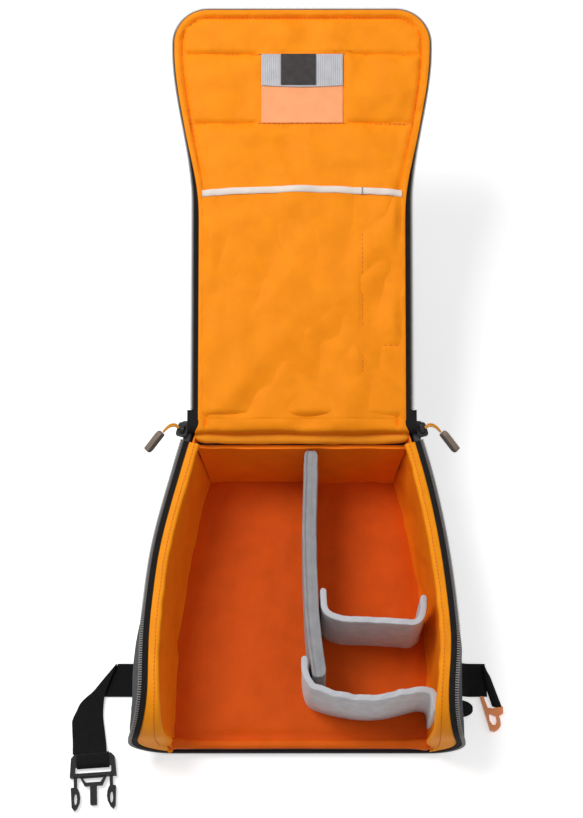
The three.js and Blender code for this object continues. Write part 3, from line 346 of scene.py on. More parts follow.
class Look:
    """A node material: its colour varies over the surface, and its bump is built up in layers."""

    def __init__(self, name, colour, coords="UV", variation=0.08, patch=18.0, **values):
        self.material = bpy.data.materials.new(name)
        self.material.use_nodes = True
        self.material.diffuse_color = colour
        self.nodes = self.material.node_tree.nodes
        self.links = self.material.node_tree.links
        self.shader = self.nodes["Principled BSDF"]
        for key, value in values.items():
            self.shader.inputs[SOCKETS[key]].default_value = value
        self.coords = self.nodes.new("ShaderNodeTexCoord").outputs[coords]
        self.height = None
        ramp = self.nodes.new("ShaderNodeValToRGB")
        tints = ((0.35, shaded(colour, 1 - variation)), (0.65, shaded(colour, 1 + variation)))
        for stop, (place, tint) in zip(ramp.color_ramp.elements, tints):
            stop.position = place
            stop.color = tint
        self.links.new(self.noise(1 / (patch * MM), 3.0), ramp.inputs["Fac"])
        self.links.new(ramp.outputs["Color"], self.shader.inputs["Base Color"])

    def node(self, kind, **inputs):
        made = self.nodes.new(kind)
        for key, value in inputs.items():
            made.inputs[key].default_value = value
        return made

    def noise(self, scale, detail):
        made = self.node("ShaderNodeTexNoise", Scale=scale, Detail=detail)
        self.links.new(self.coords, made.inputs["Vector"])
        return made.outputs["Fac"]

    def bands(self, period, direction="X", distortion=0.0):
        wave = self.node("ShaderNodeTexWave", Scale=2 * math.pi / (20 * period * MM),
                         Distortion=distortion)
        wave.bands_direction = direction
        self.links.new(self.coords, wave.inputs["Vector"])
        return wave.outputs["Fac"]

    def relief(self, height, distance, strength=1.0):
        made = self.node("ShaderNodeBump", Strength=strength, Distance=distance * MM)
        self.links.new(height, made.inputs["Height"])
        if self.height is not None:
            self.links.new(self.height, made.inputs["Normal"])
        self.height = made.outputs["Normal"]
        self.links.new(self.height, self.shader.inputs["Normal"])
        return self

    def weave(self, thread, depth):
        """Threads over and under, one way and the other."""
        crossed = self.nodes.new("ShaderNodeMath")
        crossed.operation = "MULTIPLY"
        for direction, socket in zip("XY", crossed.inputs):
            self.links.new(self.bands(thread, direction), socket)
        return self.relief(crossed.outputs[0], depth)


def nylon(name, colour):
    """Fine creased lining cloth."""
    look = Look(name, colour, variation=0.05, rough=0.6, specular=0.12)
    look.weave(0.7, 0.06)
    return look.relief(look.noise(160, 4.0), 0.5, 0.6).material


def polyester(name, colour):
    """Coarse matt outer cloth."""
    look = Look(name, colour, variation=0.12, patch=6.0, rough=0.9, specular=0.12)
    look.weave(1.1, 0.25)
    return look.relief(look.noise(300, 4.0), 0.3, 0.5).material


def brushed(name, colour):
    """Soft napped cloth, as on the dividers."""
    look = Look(name, colour, "UV", variation=0.07, patch=9.0, rough=0.95, sheen=0.15,
                sheen_rough=0.5, specular=0.1)
    look.relief(look.noise(900, 5.0), 0.35, 0.7)
    return look.relief(look.noise(120, 3.0), 0.7, 0.5).material


def webbing(name, colour):
    """Ribbed woven band."""
    look = Look(name, colour, "UV", variation=0.06, patch=9.0, rough=0.8, specular=0.12)
    look.relief(look.bands(1.6, "X", 0.4), 0.35)
    return look.relief(look.bands(0.9, "Y", 0.6), 0.2).material


def plastic(name, colour, rough=0.4, coat=0.0, specular=0.4):
    """A hard or rubbery moulding, thread or film."""
    look = Look(name, colour, "Object", variation=0.04, patch=8.0, rough=rough, coat=coat,
                coat_rough=0.25, specular=specular)
    return look.relief(look.noise(1400, 3.0), 0.05, 0.6).material


BRIGHT = srgb(252, 145, 17)
ORANGE = nylon("orange_nylon", BRIGHT)
# The same orange nylon made darker: painted shade for the lining of the side walls and the far wall
ORANGE_SHADED_INSIDE = nylon("orange_nylon_inside_painted_shade", srgb(252, 130, 17))
# The same orange nylon made much darker: painted shade for the floor of the compartment
ORANGE_FLOOR_SHADED = nylon("orange_nylon_floor_painted_shade", srgb(214, 83, 6))
ORANGE_STRIP = nylon("orange_binding", srgb(252, 152, 20))
# The lining's orange made darker: painted shade for the low roll across the open end
ORANGE_LIP_SHADED = nylon("orange_lip_painted_shade", srgb(224, 97, 12))
ORANGE_ROLL = nylon("orange_roll", srgb(252, 153, 33))
GREY = polyester("grey_polyester", srgb(83, 84, 86))
TAPE = polyester("zipper_tape", srgb(33, 31, 31))
# Mid grey on the black coil: painted highlight of the zipper's teeth
TEETH_GREY_HIGHLIGHT = plastic("zipper_teeth", srgb(134, 130, 126), 0.5)
# Darker than the lining: partly the thread's own colour, partly painted shade of the seam lines
THREAD_AND_SEAM_SHADE = plastic("orange_thread", srgb(214, 101, 17), 0.7)
GREY_THREAD = plastic("grey_thread", srgb(144, 144, 146), 0.8)
BLACK_WEBBING = webbing("black_webbing", srgb(26, 26, 27))
DIVIDER_LIGHT = brushed("divider_light_grey", srgb(207, 210, 214))
DIVIDER_DARK = brushed("divider_mid_grey", srgb(153, 153, 156))
PIPING = brushed("divider_piping", srgb(196, 198, 203))
BEIGE = nylon("beige_binding", srgb(231, 220, 211))
ELASTIC = webbing("grey_elastic", srgb(205, 205, 210))
LABEL = polyester("black_label", srgb(71, 68, 67))
FILM = plastic("pocket_film", srgb(252, 165, 111), 0.5, 0.0, 0.2)
BLACK_METAL = plastic("black_enamel", srgb(26, 26, 27), 0.45, 0.05, 0.2)
BLACK_PLASTIC = plastic("black_acetal", srgb(25, 25, 26), 0.55, 0.0, 0.18)
ORANGE_PLASTIC = plastic("orange_plastic", srgb(252, 146, 73), 0.35, 0.2)
CORD = webbing("orange_cord", srgb(252, 172, 68))
GRIP = plastic("pull_rubber", srgb(125, 111, 99), 0.6)
PAD_MESH = polyester("pad_mesh", srgb(54, 54, 57))


# The body's walls

LEFT_SWELL = 4.0
TUCK_WIDTH = 20.0
TUCK_HEIGHT = 36.0
INNER_SHIFT = 0.4


def rim_half_width(y):
    """Half the width of the case's mouth."""
    share = clamp((HALF - y) / BODY_LENGTH)
    swell = 1 - (1 - share) ** SIDE_CURVE_POWER
    return HINGE_HALF_WIDTH + (NEAR_HALF_WIDTH - HINGE_HALF_WIDTH) * swell


def rim_shift(y, side):
    """The soft left rim stands out a little in the middle, and the right one leans in near its end."""
    if side < 0:
        return 3.0 * smooth((85 - y) / 80) - 2.1 * smooth((-30 - y) / 70)
    return -5.2 * smooth((-40 - y) / 62)


def tuck(y, z):
    """How far the outer cloth is drawn in round the wall's lower edge, most at the open end."""
    near = smooth((NEAR_Y + 45 - y) / 45)
    width, height = 5 + (TUCK_WIDTH - 5) * near, 10 + (TUCK_HEIGHT - 10) * near
    share = clamp((z - WALL_BOTTOM) / height)
    return width * (1 - np.sqrt(clamp(1 - (1 - share) ** 2)))


def outer_x(y, z, side=1):
    """How far out the outer cloth of a side wall stands."""
    share = clamp(z / BODY_DEPTH)
    along = clamp((HALF - y) / BODY_LENGTH)
    belly = BELLY * along ** BELLY_POWER * np.sin(math.pi * share ** BELLY_POWER)
    if side < 0:
        belly = belly + LEFT_SWELL * smooth((20 - y) / 90) * np.sin(math.pi * share)
    return rim_half_width(y) + rim_shift(y, side) * share ** 0.7 + belly - tuck(y, z)


def inner_x(y, z, side=1):
    """How far out the lining of a side wall stands."""
    share = clamp(z / BODY_DEPTH)
    clear = (rim_half_width(y) + rim_shift(y, side) * share ** 0.7 - WALL_THICK
             - WALL_LEAN * (1 - share))
    return np.minimum(clear, outer_x(y, z, side) - 3)


def rim_stations():
    """y, z and turn along the rim, from the hinge and round the near corner."""
    straight_end = NEAR_Y + RIM_CORNER_RADIUS
    straight = np.arange(HALF, straight_end, -2.5)
    turn = np.linspace(0, math.pi / 2, 22)
    y = np.concatenate([straight, straight_end - RIM_CORNER_RADIUS * np.sin(turn)])
    z = np.concatenate([np.full(len(straight), BODY_DEPTH),
                        BODY_DEPTH - RIM_CORNER_RADIUS * (1 - np.cos(turn))])
    return y, z, np.concatenate([np.zeros(len(straight)), turn])


def wall_grid(surface, side, bottom=WALL_BOTTOM):
    """Points over a side wall, from its bottom to the rim, for a surface x(y, z)."""
    y, top = (row[:, None] for row in rim_stations()[:2])
    z = bottom + (top - bottom) * np.linspace(0, 1, 34) ** 1.3
    y = np.broadcast_to(y, z.shape)
    return points_of(side * surface(y, z), y, z)


def corner_rumple(y, z, seed):
    """Deep folds of the lining in the low corner at the open end."""
    near = smooth((NEAR_Y + 26 - y) / 22) * smooth((34 - z) / 24)
    return near * (1.6 * folds(y, z, -35, 16, 6, seed) + 1.1 * folds(y, z, 30, 12, 5, seed + 1))


def side_walls():
    """Each wall's padding with its outer cloth, and its lining."""
    for word, side in SIDES:
        seed = 3 if side < 0 else 8

        def shell(y, z):
            dent = 1.1 * folds(y, z, 70, 45, 16, seed) + 0.6 * folds(y, z, 15, 30, 9, seed + 1)
            return outer_x(y, z, side) + dent * smooth((BODY_DEPTH - z) / 14) * smooth((z - 4) / 12)

        def lining(y, z):
            crease = 1.1 * folds(y, z, 78, 60, 16, seed + 2) + 0.7 * folds(y, z, -60, 30, 10, seed + 3)
            crease = crease - 1.5 * bump(z - FLOOR_Z, 6)
            crease = crease * smooth((BODY_DEPTH - z) / 12)
            return inner_x(y, z, side) + INNER_SHIFT + crease + corner_rumple(y, z, seed + 4)

        padding = closed_sheet(
            f"side_wall_{word}_padding", wall_grid(shell, side),
            wall_grid(lambda y, z: np.minimum(inner_x(y, z, side) + 4.5, shell(y, z) - 1), side), GREY,
            BASE, [f"side_wall_{word}_shell", f"side_wall_{word}_foam"])
        # The lining inside takes the darker orange with painted shade
        closed_sheet(
            f"side_wall_{word}_inside", wall_grid(lining, side, bottom=FLOOR_Z - 3),
            wall_grid(lambda y, z: lining(y, z) + LINING_THICK, side, bottom=FLOOR_Z - 3), ORANGE_SHADED_INSIDE,
            BASE, [f"side_wall_{word}_lining"])


def rim_edge(side):
    """The wall's outer edge: along the rim, down the open end and round its low corner.
    Gives the points, the way out of the face that carries the tape, and the way to the inside."""
    y, z, turn = rim_stations()
    keep = y < HALF - 5
    y, z, turn = y[keep], z[keep], turn[keep]
    down = np.linspace(BODY_DEPTH - RIM_CORNER_RADIUS - 2, WALL_BOTTOM + TUCK_HEIGHT, 8)
    round_turn = np.linspace(0.06, math.pi / 2, 26)
    low = np.concatenate([down, WALL_BOTTOM + TUCK_HEIGHT * (1 - np.sin(round_turn))])
    y = np.concatenate([y, np.full(len(low), NEAR_Y)])
    z = np.concatenate([z, low])
    turn = np.concatenate([turn, np.full(len(low), math.pi / 2)])
    path = points_of(side * outer_x(y, z, side), y, z)
    normal = points_of(0, -np.sin(turn), np.cos(turn))
    path, normal = steps_with(260, path, normal)
    inward = unit(np.cross(normal, tangents(path)))
    if inward[0, 0] * side > 0:
        inward = -inward
    return path, normal, inward


def body_edge():
    """The same edge from the right end of the hinge round the open end to the left one."""
    right, left = rim_edge(1), rim_edge(-1)
    start, end = right[0][-1], left[0][-1]
    x = np.linspace(start[0], end[0], 90)[1:-1]
    flat = (points_of(x, NEAR_Y, WALL_BOTTOM), points_of(0 * x, -1, 0), points_of(0 * x, 0, 1))
    return [np.concatenate([a, b, c[::-1]]) for a, b, c in zip(right, flat, left)]


def rolled_strip(word, side):
    """The stitched strip inside the tape, which rolls over on to the inner wall."""
    path, normal, inward = rim_edge(side)
    profile = smooth_path([(5.0, 0.2), (5.5, 1.0), (7.4, 1.3), (10.0, 1.7), (12.2, 1.3), (13.2, -0.4),
                           (13.0, -3.0), (12.0, -6.0), (10.4, -10.0), (9.6, -13.0)], 34)
    y, z = path[:, 1:2], path[:, 2:]
    room = side * path[:, :1] - inner_x(y, z, side)
    stretch = np.maximum((room + 3.6 - 5) / (WALL_THICK + 3.6 - 5), 0.5)
    at = np.concatenate([[0], np.cumsum(np.linalg.norm(np.diff(path, axis=0), axis=1))])[:, None]
    share = np.linspace(0, 1, 34)
    wave = noise(at / 9, share * 1.5, 33 + side) * smooth(share * 3) * smooth((1 - share) * 2)
    slump = smooth((34 - z) / 24) * smooth(share * 2.5)
    rumple = slump * (2.6 * noise(at / 7, share * 2.2, 36 + side)
                      + 1.3 * noise(at / 3.6, share * 4, 46 + side))
    reach = 5 + (profile[:, 0] - 5) * stretch + 0.5 * wave
    lift = profile[:, 1] + 0.45 * wave + rumple
    front = path[:, None] + inward[:, None] * reach[..., None] + normal[:, None] * lift[..., None]
    along = np.gradient(front, axis=0)
    across = np.gradient(front, axis=1)
    face = unit(np.cross(across, along))
    face *= np.where((face * normal[:, None]).sum(axis=2).mean() < 0, -1, 1)
    closed_sheet(f"rim_binding_{word}", front, front - face * CLOTH_THICK, ORANGE_STRIP, BASE,
                 [f"rim_strip_{word}"])
    row = front[:, 8] + normal * 0.15
    keep = path[:, 2] > 26
    many(f"rim_stitching_{word}", stitch_blocks(row[keep], normal[keep], 1.9, 3.0, 0.25), THREAD_AND_SEAM_SHADE, BASE)


def body_zipper():
    """The toothed tape round the rim, and the strips inside it."""
    outer, normal, inward = steps_with(620, *body_edge())
    lift = normal * (GAP + TAPE_THICK / 2)
    ribbon("body_zipper_tape", outer + inward * TAPE_WIDTH / 2 + lift, -inward, normal,
           TAPE_WIDTH + 0.8, TAPE_THICK, TAPE, BASE,
           ["zip_tape_body_left", "zip_tape_body_right", "zip_tape_body_near"], columns=5)
    many("body_zipper_teeth", tooth_blocks(outer + lift, -inward, normal), TEETH_GREY_HIGHLIGHT, BASE)
    for word, side in SIDES:
        rolled_strip(word, side)


def floor_panels():
    """The lining of the floor, and the panel that the case lies on."""
    y = np.linspace(NEAR_Y + 4, FAR_WALL_Y + 1, 110)[:, None]
    u = np.linspace(-1, 1, 90)
    left, right = inner_x(y, FLOOR_Z, -1) + 1.6, inner_x(y, FLOOR_Z, 1) + 1.6
    x = -left + (left + right) * ((u + 1) / 2)
    puff = 1.2 * smooth((1 - abs(u)) * 8) * smooth((y - NEAR_Y - 8) / 20)
    dip = -1.6 * bump(y - NEAR_Y - 9, 4)
    z = FLOOR_Z + puff + dip + 0.5 * folds(x, y, 20, 40, 14, 21) + 0.35 * folds(x, y, 80, 30, 9, 22)
    # The floor lining takes the dark orange with painted shade
    closed_sheet("floor_lining", points_of(x, y, z), points_of(x, y, FLOOR_Z - LINING_THICK - 1),
                 ORANGE_FLOOR_SHADED, BASE, ["back_panel_lining"])
    y = np.linspace(NEAR_Y, HALF, 70)[:, None]
    x = np.minimum(inner_x(y, WALL_BOTTOM) + 6, outer_x(y, WALL_BOTTOM + 1.5) - 0.5) * u
    panel = closed_sheet("back_panel_padding", points_of(x, y, FLOOR_Z - LINING_THICK - 1.4),
                         points_of(x, y, WALL_BOTTOM + 0.5 * (1 - u ** 4)), GREY, BASE,
                         ["back_panel_shell", "back_panel_foam"])


def rounded_profile(y0, z0, y1, z1, radius):
    """A rectangle of y and z with round corners."""
    points = []
    for cy, cz, start in ((y1 - radius, z0 + radius, -90), (y1 - radius, z1 - radius, 0),
                          (y0 + radius, z1 - radius, 90), (y0 + radius, z0 + radius, 180)):
        for angle in np.radians(np.linspace(start, start + 90, 6)):
            points.append((cy + radius * math.cos(angle), cz + radius * math.sin(angle)))
    return np.array(points)


def open_end():
    """The low roll of lining across the open end, slumped and creased in its two corners."""
    half = float(outer_x(np.array(NEAR_Y), np.array(12.0))) - 7
    profile = rounded_profile(NEAR_Y + 0.3, WALL_BOTTOM + 4.6, NEAR_Y + 6.6, 14.2, 2.6)
    middle = profile.mean(axis=0)
    x = np.linspace(-half, half, 160)[:, None]
    near = np.minimum(1.0, (half - abs(x)) / 5 + 0.35)
    scale = np.sqrt(near * (2 - near)) * (1 + 0.35 * smooth((abs(x) - 76) / 20))
    slump = smooth((abs(x) - 74) / 24)
    y, z = middle[:, None, None] + (profile - middle).T[:, None] * scale
    y = y + 0.25 * noise(x / 17, 0.3, 4) + slump * 1.4 * noise(x / 6, 1.3, 5)
    z = z + 0.35 * noise(x / 9, 2.3, 7) + slump * (2.4 + 1.9 * noise(x / 5, 4.3, 9))
    # The lip takes the dark orange with painted shade
    lip = loft("near_lip_roll", points_of(x, y, z), ORANGE_LIP_SHADED, BASE, ["near_lip"])


ROLL_HALF = 79.5
ROLL_RADIUS = 5.0
HINGE_CLOTH_HALF = 76.6
HINGE_CLOTH_FLARE = 2.8
HINGE_CLOTH_THICK = 1.3
HINGE_TAPE_START = 75.5
HINGE_TAPE_END = 85.0


def far_wall():
    """The wall between the compartment and the upper section."""
    u = np.linspace(-1, 1, 60)

    def rows(low, high, count, extra):
        """x and z over the wall, wider by extra than the room between the side walls."""
        z = np.linspace(low, high, count)[:, None]
        return (inner_x(HALF, z) + extra) * u, z + 0 * u

    x, z = rows(FLOOR_Z - 2, 83, 34, 1.2)
    y = FAR_WALL_Y - 0.6 - 0.8 * folds(x, z, 75, 30, 12, 31)
    # The far wall's lining takes the darker orange with painted shade
    closed_sheet("far_wall_inside", points_of(x, y, z), points_of(x, FAR_WALL_Y + LINING_THICK + 1, z),
                 ORANGE_SHADED_INSIDE, BASE, ["far_wall_lining"])
    x, z = rows(WALL_BOTTOM + 2, 79, 20, 3)
    padding = closed_sheet("far_wall_padding", points_of(x, FAR_WALL_Y + 1.6, z),
                           points_of(x, HALF - 0.2, z), GREY, BASE, ["far_wall_foam"])


def hinge_roll():
    """The sagging roll of lining under the hinge."""
    x = np.linspace(-ROLL_HALF, ROLL_HALF, 130)[:, None]
    turn = np.linspace(0, 2 * math.pi, 24, endpoint=False)
    sag = 3.0 * (1 - (x / 77) ** 4) - 0.9 * bump(x + 2, 22) + 0.9 * bump(x - 52, 20)
    near = np.minimum(1.0, (ROLL_HALF - abs(x)) / 9)
    radius = ROLL_RADIUS * (0.35 + 0.65 * np.sqrt(near * (2 - near))) + 0.25 * noise(x / 8, 5, 3)
    radius = radius * (1 + 0.05 * noise(x / 10, turn * 2, 12))
    y = 106.6 + 0.06 * sag + 1.05 * radius * np.cos(turn)
    z = 90.2 - sag + 0.3 * noise(x / 16, 0.4, 14) + 0.9 * radius * np.sin(turn)
    roll = loft("hinge_roll_soft", points_of(x, y, z), ORANGE_ROLL, BASE,
                ["hinge_roll"])


def hinge_line(stops):
    """A line of y and z through the stops, with its normal on the side that shows."""
    line = smooth_path(stops, 30)
    along = tangents(line)
    normal = points_of(-along[:, 1], along[:, 0])
    return line, normal * -np.sign(normal[:1, 0:1])


def hinge_sheet(name, x, line, normal, off, thick, look, replaces=()):
    """Cloth over x along a line of y and z, off it by a distance, attached to no body, its placement
    baked into its mesh.
    """
    front = points_of(x, line[:, :1] + normal[:, :1] * off, line[:, 1:] + normal[:, 1:] * off)
    back = front - points_of(0 * x, normal[:, :1], normal[:, 1:]) * thick
    cloth = closed_sheet(name, front, back, look, None, replaces)
    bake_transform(cloth)


def hinge_cloth():
    """The lining that carries on from the door down to the roll, with the black tapes beside it."""
    stops = [(121.0, 106.2), (117.2, 104.9), (113.2, 103.6), (109.8, 102.3), (107.6, 100.6),
             (106.6, 98.4), (106.5, 95.9), (106.9, 93.6), (107.4, 91.8)]
    line, normal = hinge_line(stops)
    share = np.linspace(0, 1, 30)[:, None]
    half = HINGE_CLOTH_HALF + HINGE_CLOTH_FLARE * smooth((share - 0.4) / 0.4)
    x = half * np.linspace(-1, 1, 110)
    y, z = line[:, :1] - HINGE_Y, line[:, 1:] - HINGE_Z
    along = y * math.cos(DOOR_SLOPE) + z * math.sin(DOOR_SLOPE)
    above = z * math.cos(DOOR_SLOPE) - y * math.sin(DOOR_SLOPE)
    wave = 0.7 * folds(x, share * 14, 68, 16, 13, 131) * smooth((share - 0.4) / 0.3)
    cover = lining_height(x, np.maximum(along, 4.5) + 0 * x) - above
    off = cover * (1 - smooth((share - 0.35) / 0.4)) + wave - 0.9 * clamp((along - 3.5) / 4)
    hinge_sheet("hinge_cloth", x, line, normal, off, HINGE_CLOTH_THICK, ORANGE,
                ["hinge_band"])
    line, normal = hinge_line(stops + [(107.8, 88.0), (107.9, 84.0)])
    for word, side in SIDES:
        x = side * np.linspace(HINGE_TAPE_START, HINGE_TAPE_END, 8)
        hinge_sheet(f"hinge_tape_{word}", x, line, normal, -0.9, TAPE_THICK, TAPE)


# The door and its flap, in the door's own x, t from the hinge and n off its middle

def door_point(x, t, n):
    """From the door's own coordinates to the frame's, at rest."""
    y = HINGE_Y + t * math.cos(DOOR_SLOPE) - n * math.sin(DOOR_SLOPE)
    z = HINGE_Z + t * math.sin(DOOR_SLOPE) + n * math.cos(DOOR_SLOPE)
    return points_of(x, y, z)


DOOR_NORMAL = door_point(0, 0, 1) - door_point(0, 0, 0)


def door_half_width(t):
    flare = smooth((t - FLARE_START) / FLARE_LENGTH)
    return DOOR_HALF_WIDTH + (FLAP_HALF_WIDTH - DOOR_HALF_WIDTH) * flare


def edge_distance(x, t):
    """How far a point of the door lies inside its outline; the hinge side doesn't count."""
    radius = FLAP_CORNER_RADIUS
    qx = abs(x) - (door_half_width(t) - radius)
    qt = t - (DOOR_LENGTH - radius)
    corner = radius - np.hypot(np.maximum(qx, 0), np.maximum(qt, 0))
    return np.minimum(corner, radius - np.maximum(qx, qt))


def lining_edge(t):
    """Near the hinge the lining stops further in from the door's edge."""
    return 3.6 * (1 - smooth((t - 150) / 70))


def door_outline(inset, further=lambda t: 0):
    """x and t along the door's edge from the hinge on the right and round, drawn in by inset,
    and along its sides by further(t) as well."""
    step = 2.0
    radius = FLAP_CORNER_RADIUS - inset
    side_end = DOOR_LENGTH - inset - radius
    t = np.arange(DOOR_EDGE_START, side_end, step)
    turn = np.linspace(0, math.pi / 2, 20)
    middle_x = door_half_width(side_end) - inset - radius
    top = np.arange(middle_x - step, 0, -step)
    x = np.concatenate([door_half_width(t) - inset - further(t), middle_x + radius * np.cos(turn),
                        top, [0]])
    t = np.concatenate([t, side_end + radius * np.sin(turn), np.full(len(top) + 1, DOOR_LENGTH - inset)])
    right = points_of(x, t)
    return np.concatenate([right, right[:-1][::-1] * [-1, 1]])


def door_grid(inset, rows=170, columns=96, further=lambda t: 0):
    """x and t over the door, inside the same outline."""
    end = DOOR_LENGTH - inset
    radius = FLAP_CORNER_RADIUS - inset
    straight = np.linspace(DOOR_EDGE_START, end - radius, rows - 24, endpoint=False)
    turn = np.linspace(0, math.pi / 2, 24)
    t = np.concatenate([straight, end - radius + radius * np.sin(turn)])
    half = np.concatenate([door_half_width(straight) - inset - further(straight),
                           door_half_width(end) - inset - radius + radius * np.cos(turn)])
    return half[:, None] * np.linspace(-1, 1, columns), t[:, None]


EDGE_INSET = 0.4
SEAM_INSET = 6.6
TOP_SEAM_T = 279.2
FOLD_SEAM_T = 226.4

# The flat place on the flap's lining that the card pocket is sewn to
CARD_PLACE_HALF = 35.5
CARD_PLACE_START = 223.6
CARD_PLACE_END = 281.2


def lining_height(x, t):
    """Height of the door's orange lining over the door's middle."""
    d = edge_distance(x, t) - EDGE_INSET - lining_edge(t)
    across = np.minimum(abs(t - TOP_SEAM_T), abs(t - FOLD_SEAM_T))
    seams = np.minimum(abs(d - SEAM_INSET), np.where(d > SEAM_INSET, across, 99))
    groove = -2.1 * bump(seams, 1.1)
    swell = np.where(d > SEAM_INSET, 2.0 * (1 - np.exp(-seams / 6)),
                     1.5 * np.sqrt(clamp(1 - ((d - 3.1) / 3.6) ** 2)))
    pucker = 0.75 * noise((x + t) / 4.2, (x - t) / 4.2, 40) * np.exp(-seams / 7)
    wide = (folds(x, t, 58, 60, 17, 41) + 0.6 * folds(x, t, 118, 45, 13, 42)
            + 0.35 * folds(x, t, 5, 40, 11, 43))
    edge = -1.3 * clamp(1 - d / 2.0) ** 2
    end = 1.6 * clamp((4.5 - t) / 2.5) ** 1.5
    free = DOOR_FACE - 0.4 - end + groove + swell + pucker + 2.1 * wide * smooth((d - 4) / 12) + edge
    held = (smooth((CARD_PLACE_HALF - abs(x)) / 4) * smooth((t - CARD_PLACE_START) / 2)
            * smooth((CARD_PLACE_END - t) / 2))
    return np.maximum(free * (1 - held) + (DOOR_FACE + 0.5) * held, DOOR_FACE - 2.5)


def crosses_fold(piece):
    """The piece is attached to no body, its placement baked into its mesh."""
    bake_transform(piece)


def door_sheet(name, x, t, front, back, look, replaces, body="door", bend=False):
    piece = closed_sheet(name, door_point(x, t, front), door_point(x, t, back), look,
                         None if bend else body, replaces)
    if bend:
        crosses_fold(piece)
    return piece


def door_panel():
    """The door's lining and its padding, each in one piece with the flap's."""
    x, t = door_grid(1.0 + EDGE_INSET, further=lining_edge)
    door_sheet("door_lining_sheet", x, t, lining_height(x, t), DOOR_FACE - LINING_THICK - 2.6,
               ORANGE, ["door_lining", "flap_lining"], bend=True)
    x, t = door_grid(1.2, 150, 70)
    d = edge_distance(x, t)
    low = DOOR_FACE - LINING_THICK - GAP - DOOR_FOAM_THICK - GAP - DOOR_SHELL_THICK
    puff = 1.4 * np.exp(-d / 5) - 0.8 * folds(x, t, 40, 60, 20, 51) * smooth(d / 10)
    padding = door_sheet("door_padding", x, t, DOOR_FACE - LINING_THICK - 1.9, low + puff, GREY,
                         ["door_shell", "door_foam", "flap_shell", "flap_foam"],
                         bend=True)


def door_zipper():
    """The toothed tape round the door and its flap."""
    count = 520
    height = DOOR_FACE - LINING_THICK / 2 - 1.1
    path, inside = (door_point(*even_steps(door_outline(inset), count).T, height)
                    for inset in (0.0, TAPE_WIDTH))
    across = unit(path - inside)
    normal = np.tile(DOOR_NORMAL, (count, 1))
    tape = ribbon("door_zipper_tape", (path + path - across * TAPE_WIDTH) / 2, across, normal,
                  TAPE_WIDTH, TAPE_THICK, TAPE, None,
                  ["zip_tape_door_left", "zip_tape_door_right", "zip_tape_flap"], columns=4)
    crosses_fold(tape)
    teeth = many("door_zipper_teeth", tooth_blocks(path, across, normal), TEETH_GREY_HIGHLIGHT, None)
    crosses_fold(teeth)


def door_stitches(lines, surface, lift):
    """Stitches along lines of x and t, a little above a surface of the door."""
    blocks = []
    for x, t in lines:
        path = door_point(x, t, surface(x, t) + lift)
        blocks += stitch_blocks(path, np.tile(DOOR_NORMAL, (len(path), 1)))
    return blocks


def door_stitching():
    """The seam round the lining and the two seams across it."""
    lines = [door_outline(SEAM_INSET + EDGE_INSET, lining_edge).T]
    for t in (TOP_SEAM_T, FOLD_SEAM_T):
        half = door_half_width(t) - SEAM_INSET
        lines.append((np.linspace(-half, half, 60), np.full(60, t)))
    blocks = door_stitches(lines, lining_height, 0.25)
    crosses_fold(many("door_stitching", blocks, THREAD_AND_SEAM_SHADE, None))


POCKET_START = 3.5
POCKET_END = 178.5
POCKET_SAG = 3.2
POCKET_EDGE = 74.5
STITCH_X = 45.0
STITCH_T = 59.0


def pocket_top(x):
    """The binding sags towards its ends."""
    return POCKET_END - POCKET_SAG * (x / POCKET_EDGE) ** 2


def pocket_height(x, t):
    """Height of the pocket's cloth over the door's middle."""
    loose = smooth((POCKET_EDGE - abs(x)) / 7) * smooth((t - POCKET_START) / 8)
    wide = (folds(x, t, 52, 75, 19, 61) + 0.7 * folds(x, t, 128, 55, 15, 62)
            + 0.5 * folds(x, t, 88, 60, 12, 63))
    seam = np.minimum(abs(x - STITCH_X), np.where(x > STITCH_X, abs(t - STITCH_T), 99))
    groove = -0.8 * bump(seam, 1.2) + 0.3 * noise(x / 3, t / 3, 64) * np.exp(-seam / 4)
    end = 3.0 * clamp((10 - t) / 6) ** 1.5
    return DOOR_FACE + 0.9 - end + (1.8 + 2.1 * wide) * loose + groove


def binding_height(x, t):
    """Height of the pocket's binding, which lies on the higher of two cloths."""
    return np.maximum(pocket_height(x, t), lining_height(x, t) + 0.4)


def door_pockets():
    """The inside pocket, its bound edge and the stitches that divide it."""
    x = POCKET_EDGE * np.linspace(-1, 1, 90)
    t = POCKET_START + (pocket_top(x) - 3 - POCKET_START) * np.linspace(0, 1, 120)[:, None]
    height = pocket_height(x, t)
    door_sheet("door_pocket_sheet", x, t, height, height - CLOTH_THICK, ORANGE,
               ["door_pocket"])
    v = np.linspace(-1, 1, 9)[:, None]
    t = pocket_top(x) - BINDING_WIDTH / 2 + v * BINDING_WIDTH / 2
    middle = binding_height(x, t) + 0.3
    crown = 0.9 * np.sqrt(clamp(1.02 - v ** 2))
    door_sheet("door_pocket_edge", x, t, middle + crown, middle - crown * 0.6 - 0.3, BEIGE,
               ["door_pocket_binding"])
    lines = [(np.full(90, STITCH_X), np.linspace(POCKET_START + 8, 170, 90)),
             (np.linspace(STITCH_X, POCKET_EDGE, 30), np.full(30, STITCH_T))]
    many("door_pocket_stitching", door_stitches(lines, pocket_height, 0.1), THREAD_AND_SEAM_SHADE, "door")
    tack_t = pocket_top(STITCH_X) - BINDING_WIDTH / 2
    tack = door_point(STITCH_X, tack_t, binding_height(STITCH_X, tack_t) + 0.8)
    axes = [door_point(*v) - door_point(0, 0, 0) for v in ((0.45, 0, 0), (0, 2.6, 0), (0, 0, 0.9))]
    many("door_pocket_bar_tack", [(tack, *axes)], GREY_THREAD, "door")


CARD_HALF = 30.5
WINDOW_START = FRONT_LENGTH + 3.0
BAND_START = WINDOW_START + 28.3
BAND_END = BAND_START + 23.8
LABEL_LEFT = -15.8
LABEL_RIGHT = 10.4


